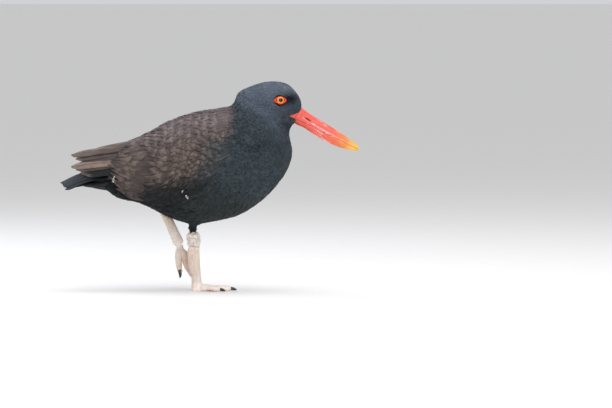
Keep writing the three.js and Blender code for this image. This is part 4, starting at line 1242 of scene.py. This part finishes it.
def legSkin():
    # dry horny skin, chalky pinkish white, pinker in the net of creases
    material, add, shader = newMaterial("chalkyLegSkin", **{"Roughness": 0.58, "Specular IOR Level": 0.35})
    coords = add("TexCoord"), "Object"
    net = add("TexVoronoi", {"Scale": 1000 / legLook["scaleAcross"], "feature": "DISTANCE_TO_EDGE"},
              {"Vector": coords})
    crease = add("ValToRGB", links={"Fac": net})
    setRamp(crease, [(0.0, "#d8c8bd"), (0.05, "#ece3db"), (0.14, "#faf7f4"), (1.0, "#fffefc")])
    stain = add("TexNoise", {"Scale": 110.0, "Detail": 4.0, "Roughness": 0.6}, {"Vector": coords})
    tint = add("ValToRGB", links={"Fac": stain})
    setRamp(tint, [(0.3, "#f0dfd4"), (0.5, "#fdf8f4"), (0.72, "#ffffff")])
    both = add("MixRGB", {"blend_type": "MULTIPLY", "Fac": 0.6}, {"Color1": crease, "Color2": tint})
    grooves = add("Mapping", {"Scale": (900, 900, 60)}, {"Vector": coords})
    grooves = add("TexNoise", {"Scale": 1.0, "Detail": 3.0}, {"Vector": grooves})
    lines = add("ValToRGB", links={"Fac": grooves})
    setRamp(lines, [(0.34, "#ead6cc"), (0.44, "#faf4ef"), (0.56, "#ffffff")])
    both = add("MixRGB", {"blend_type": "MULTIPLY", "Fac": 0.65}, {"Color1": both, "Color2": lines})
    markings = add("Attribute", {"attribute_name": "markings"})
    both = add("MixRGB", {"blend_type": "MULTIPLY", "Fac": 1.0}, {"Color1": both, "Color2": markings})
    link(shader, {"Base Color": both})
    fine = add("TexNoise", {"Scale": 2200.0, "Detail": 2.0}, {"Vector": coords})
    rise = add("MapRange", {"From Min": 0.0, "From Max": 0.2}, {"Value": net})
    height = add("Math", {"operation": "MULTIPLY_ADD", 1: 0.3}, {0: fine, 2: rise})
    bump = add("Bump", {"Strength": 0.6, "Distance": 0.22 * mm}, {"Height": height})
    link(shader, {"Normal": bump})
    return material


legMarks = {
    "right": {"heel": (-4.4, -9, 62), "heelReach": 10.5, "below": 53.4, "plump": 0.6, "toesTo": (9, 15)},
    "left": {"heel": (-44, 13, 106), "heelReach": 9, "plump": 0.9, "toesTo": (46, 52)},
    "knobs": 40, "knobWide": 2.9, "knobRise": 2.2, "heelSize": (8.3, 5.8, 10.5), "shankDeeper": 3.0,
    "toeBroader": 3.4,
}


def heelKnobs(sideName, co):
    # how high the heel's cobbled shields stand: 1 on top of one, 0 in the creases; and where they are
    heel = np.array(legMarks[sideName]["heel"])
    reach = legMarks[sideName]["heelReach"]
    turn = np.arange(legMarks["knobs"])
    height = 1 - 2 * (turn + 0.5) / legMarks["knobs"]
    spin = turn * math.pi * (3 - math.sqrt(5)) + np.sin(turn * 5.1) * 0.25
    ring = np.sqrt(1 - height ** 2)
    jitter = np.random.default_rng(5).normal(0, 0.16, (len(turn), 3))
    centres = np.stack([ring * np.cos(spin), ring * np.sin(spin), height], -1) + jitter
    centres = centres * legMarks["heelSize"] + heel
    far = np.linalg.norm(co[:, None] - centres[None], axis=-1).min(axis=1) / legMarks["knobWide"]
    near = 1 - smooth(np.linalg.norm(co - heel, axis=1), reach - 2, reach)
    return np.clip(1 - far ** 2, 0, 1), near


def legColour(sideName, co):
    # whitest on the heel and toes, the toes painted brighter still as painted light, a brown line under the
    # heel, pink where the skin folds
    x, _, z = co.T
    marks = legMarks[sideName]
    white, pink, brown = (colourOf(value) for value in ("#fffffe", "#eedfd6", "#bdab97"))
    colour = np.repeat(white[None], len(co), 0)
    colour = blend(colour, colourOf("#f1ebe3"), 0.8 * smooth(z, 8, 20) * (1 - smooth(z, 46, 56)))
    if sideName == "right":
        colour = blend(colour, brown, 0.7 * np.exp(-((z - marks["below"] + 0.1 * x) / 0.9) ** 2) * (x > -9))
        colour = blend(colour, pink, 0.6 * smooth(-x + 0.08 * (z - 20), 1.5, 4.5) * (1 - smooth(z, 48, 54)))
        # the red speck under the standing foot
        colour = blend(colour, colourOf("#c4523f"), 0.85 * patch(x, z, (16, 1.0), (4.5, 1.6)))
    else:
        colour = blend(colour, pink, 0.55 * smooth(x - 0.35 * (z - 50), -18, -12) * (z < 56))
        colour = blend(colour, colourOf("#e6d6c0"), 0.6 * smooth(z, 62, 90))
    # painted light: the toes brighter than white
    return colour * (1 + 0.16 * (1 - smooth(z, 7, 12)))[:, None]


def makeLeg(sideName, material):
    names = ["tarsus_" + sideName] + ["toe_%s_%s" % (sideName, toe) for toe in toeNames]
    leg = copyOf("leg_" + sideName, *names)
    low = verticesOf(leg)[:, 2].min()
    modified(leg, "REMESH", mode="VOXEL", voxel_size=legLook["voxel"])
    modified(leg, "SMOOTH", factor=0.5, iterations=legLook["smoothing"])
    scales = bpy.data.textures.new("scales_" + sideName, "VORONOI")
    scales.noise_scale = legLook["scaleAcross"] * 1.5 * mm
    scales.distance_metric = "DISTANCE"
    modified(leg, "DISPLACE", texture=scales, texture_coords="LOCAL", strength=-legLook["scaleRise"] * mm,
             mid_level=0.35)
    co = verticesOf(leg)
    x, z = co[:, 0] / mm, co[:, 2] / mm
    plump = legMarks[sideName]["plump"] * (1 - smooth(z, *legMarks[sideName]["toesTo"]))
    normals = verticesOf(leg, "normal")
    co = co + normals * plump[:, None] * mm
    if sideName == "right":
        # the shank of the standing leg is deepest towards the heel
        co[:, 0] -= (legMarks["shankDeeper"] * mm * smooth(-x, 1, 7) * smooth(z, 12, 34)
                     * (1 - smooth(z, 46, 55)))
    else:
        # the sole of the toe nearest to it, broad seen from the side
        front = smooth(x - (-13.5 + (36 - z) * 0.42), -2.5, 2.5)
        co[:, 0] += legMarks["toeBroader"] * mm * front * smooth(z, 21, 32) * (1 - smooth(z, 43, 52))
    knob, near = heelKnobs(sideName, co / mm)
    co = co + normals * ((knob - 0.45) * near * legMarks["knobRise"])[:, None] * mm
    co[:, 2] = np.maximum(co[:, 2], low)
    moveVertices(leg, co)
    shadeSmooth(leg)
    # painted shade in the creases between the heel's knobs
    paint(leg, legColour(sideName, co / mm) * (1 - 0.22 * near * (1 - smooth(knob, 0, 0.5)))[:, None])
    finishPiece(leg, material)
    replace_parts(leg, *names)


def clawHorn():
    # dark horn, worn dull and paler in patches
    material, add, shader = newMaterial("wornClawHorn", **{"Roughness": 0.4, "Specular IOR Level": 0.45})
    coords = add("TexCoord"), "Object"
    wear = add("TexNoise", {"Scale": 700.0, "Detail": 4.0}, {"Vector": coords})
    colour = add("ValToRGB", links={"Fac": wear})
    setRamp(colour, [(0.3, "#241f1e"), (0.6, "#4a403c"), (0.8, "#7c6f66")])
    bump = add("Bump", {"Strength": 0.4, "Distance": 0.1 * mm}, {"Height": wear})
    link(shader, {"Base Color": colour, "Normal": bump})
    return material


def makeClaws(sideName, material):
    names = ["claw_%s_%s" % (sideName, toe) for toe in toeNames]
    claws = copyOf("claws_" + sideName, *names)
    modified(claws, "SUBSURF", levels=2, render_levels=2)
    shadeSmooth(claws)
    finishPiece(claws, material)
    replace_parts(claws, *names)


scaly, horny = legSkin(), clawHorn()
for sideName in bothSides:
    makeLeg(sideName, scaly)
    makeClaws(sideName, horny)
print("legs made")


# floor, light and camera

studio = {"sky": "#e6e8ec", "skyStrength": 0.8, "distance": 6.0, "elevation": 2.5,
          "framePixels": (612, 408), "millimetresPerPixel": 1.2, "groundPixel": (197, 291)}

lights = {  # watts, size, place, what it is turned to, colour
    "skyPanel": (16, 1.6, (0.1, -0.2, 1.8), (0.05, 0, 0.15), "#fbfbff"),
    "keyPanel": (11, 0.9, (0.7, -1.9, 1.7), (0.05, 0, 0.15), "#fffaf2"),
    "catchPanel": (7, 0.26, (0.47, -2.6, 0.45), (0.12, 0, 0.2), "#ffffff"),
    "rearPanel": (11, 1.2, (-1.3, 0.9, 1.1), (0, 0, 0.15), "#e9f0ff"),
}


def makeFloor():
    floor = added(bpy.ops.mesh.primitive_plane_add, "floor", size=500, location=(0, 0, 0))
    material, add, shader = newMaterial("paleCardFloor", **{"Roughness": 0.9, "Specular IOR Level": 0.1})
    coords = add("TexCoord"), "Object"
    grain = add("TexNoise", {"Scale": 40.0, "Detail": 3.0}, {"Vector": coords})
    colour = add("ValToRGB", links={"Fac": grain})
    setRamp(colour, [(0.0, "#f0eeea"), (1.0, "#f6f4f1")])
    link(shader, {"Base Color": colour})
    floor.data.materials.append(material)


def makeLight(name, energy, size, place, aim, hexColour):
    light = added(bpy.ops.object.light_add, name, type="AREA", location=place)
    light.data.energy = energy
    light.data.size = size
    light.data.color = tuple(colourOf(hexColour))
    light.rotation_euler = (Vector(aim) - Vector(place)).to_track_quat("-Z", "Y").to_euler()


def makeCamera():
    width, height = studio["framePixels"]
    scale = studio["millimetresPerPixel"] * mm
    groundX, groundZ = studio["groundPixel"]
    centre = Vector(((width / 2 - groundX) * scale, 0, (groundZ - height / 2) * scale))
    rise = math.radians(studio["elevation"])
    place = centre + Vector((0, -math.cos(rise), math.sin(rise))) * studio["distance"]
    bpy.ops.object.camera_add(location=place)
    camera = bpy.context.object
    camera.rotation_euler = (centre - place).to_track_quat("-Z", "Y").to_euler()
    camera.data.sensor_width = 36
    camera.data.lens = 36 * studio["distance"] / (width * scale)
    camera.data.clip_end = 100
    bpy.context.scene.camera = camera


makeFloor()
for name, settings in lights.items():
    makeLight(name, *settings)
makeCamera()
world = bpy.data.worlds.new("studioSky")
bpy.context.scene.world = world
world.use_nodes = True
sky = world.node_tree.nodes["Background"].inputs
sky["Color"].default_value, sky["Strength"].default_value = rgba(studio["sky"]), studio["skyStrength"]
bpy.context.scene.view_settings.view_transform = "Standard"
print("studio made")
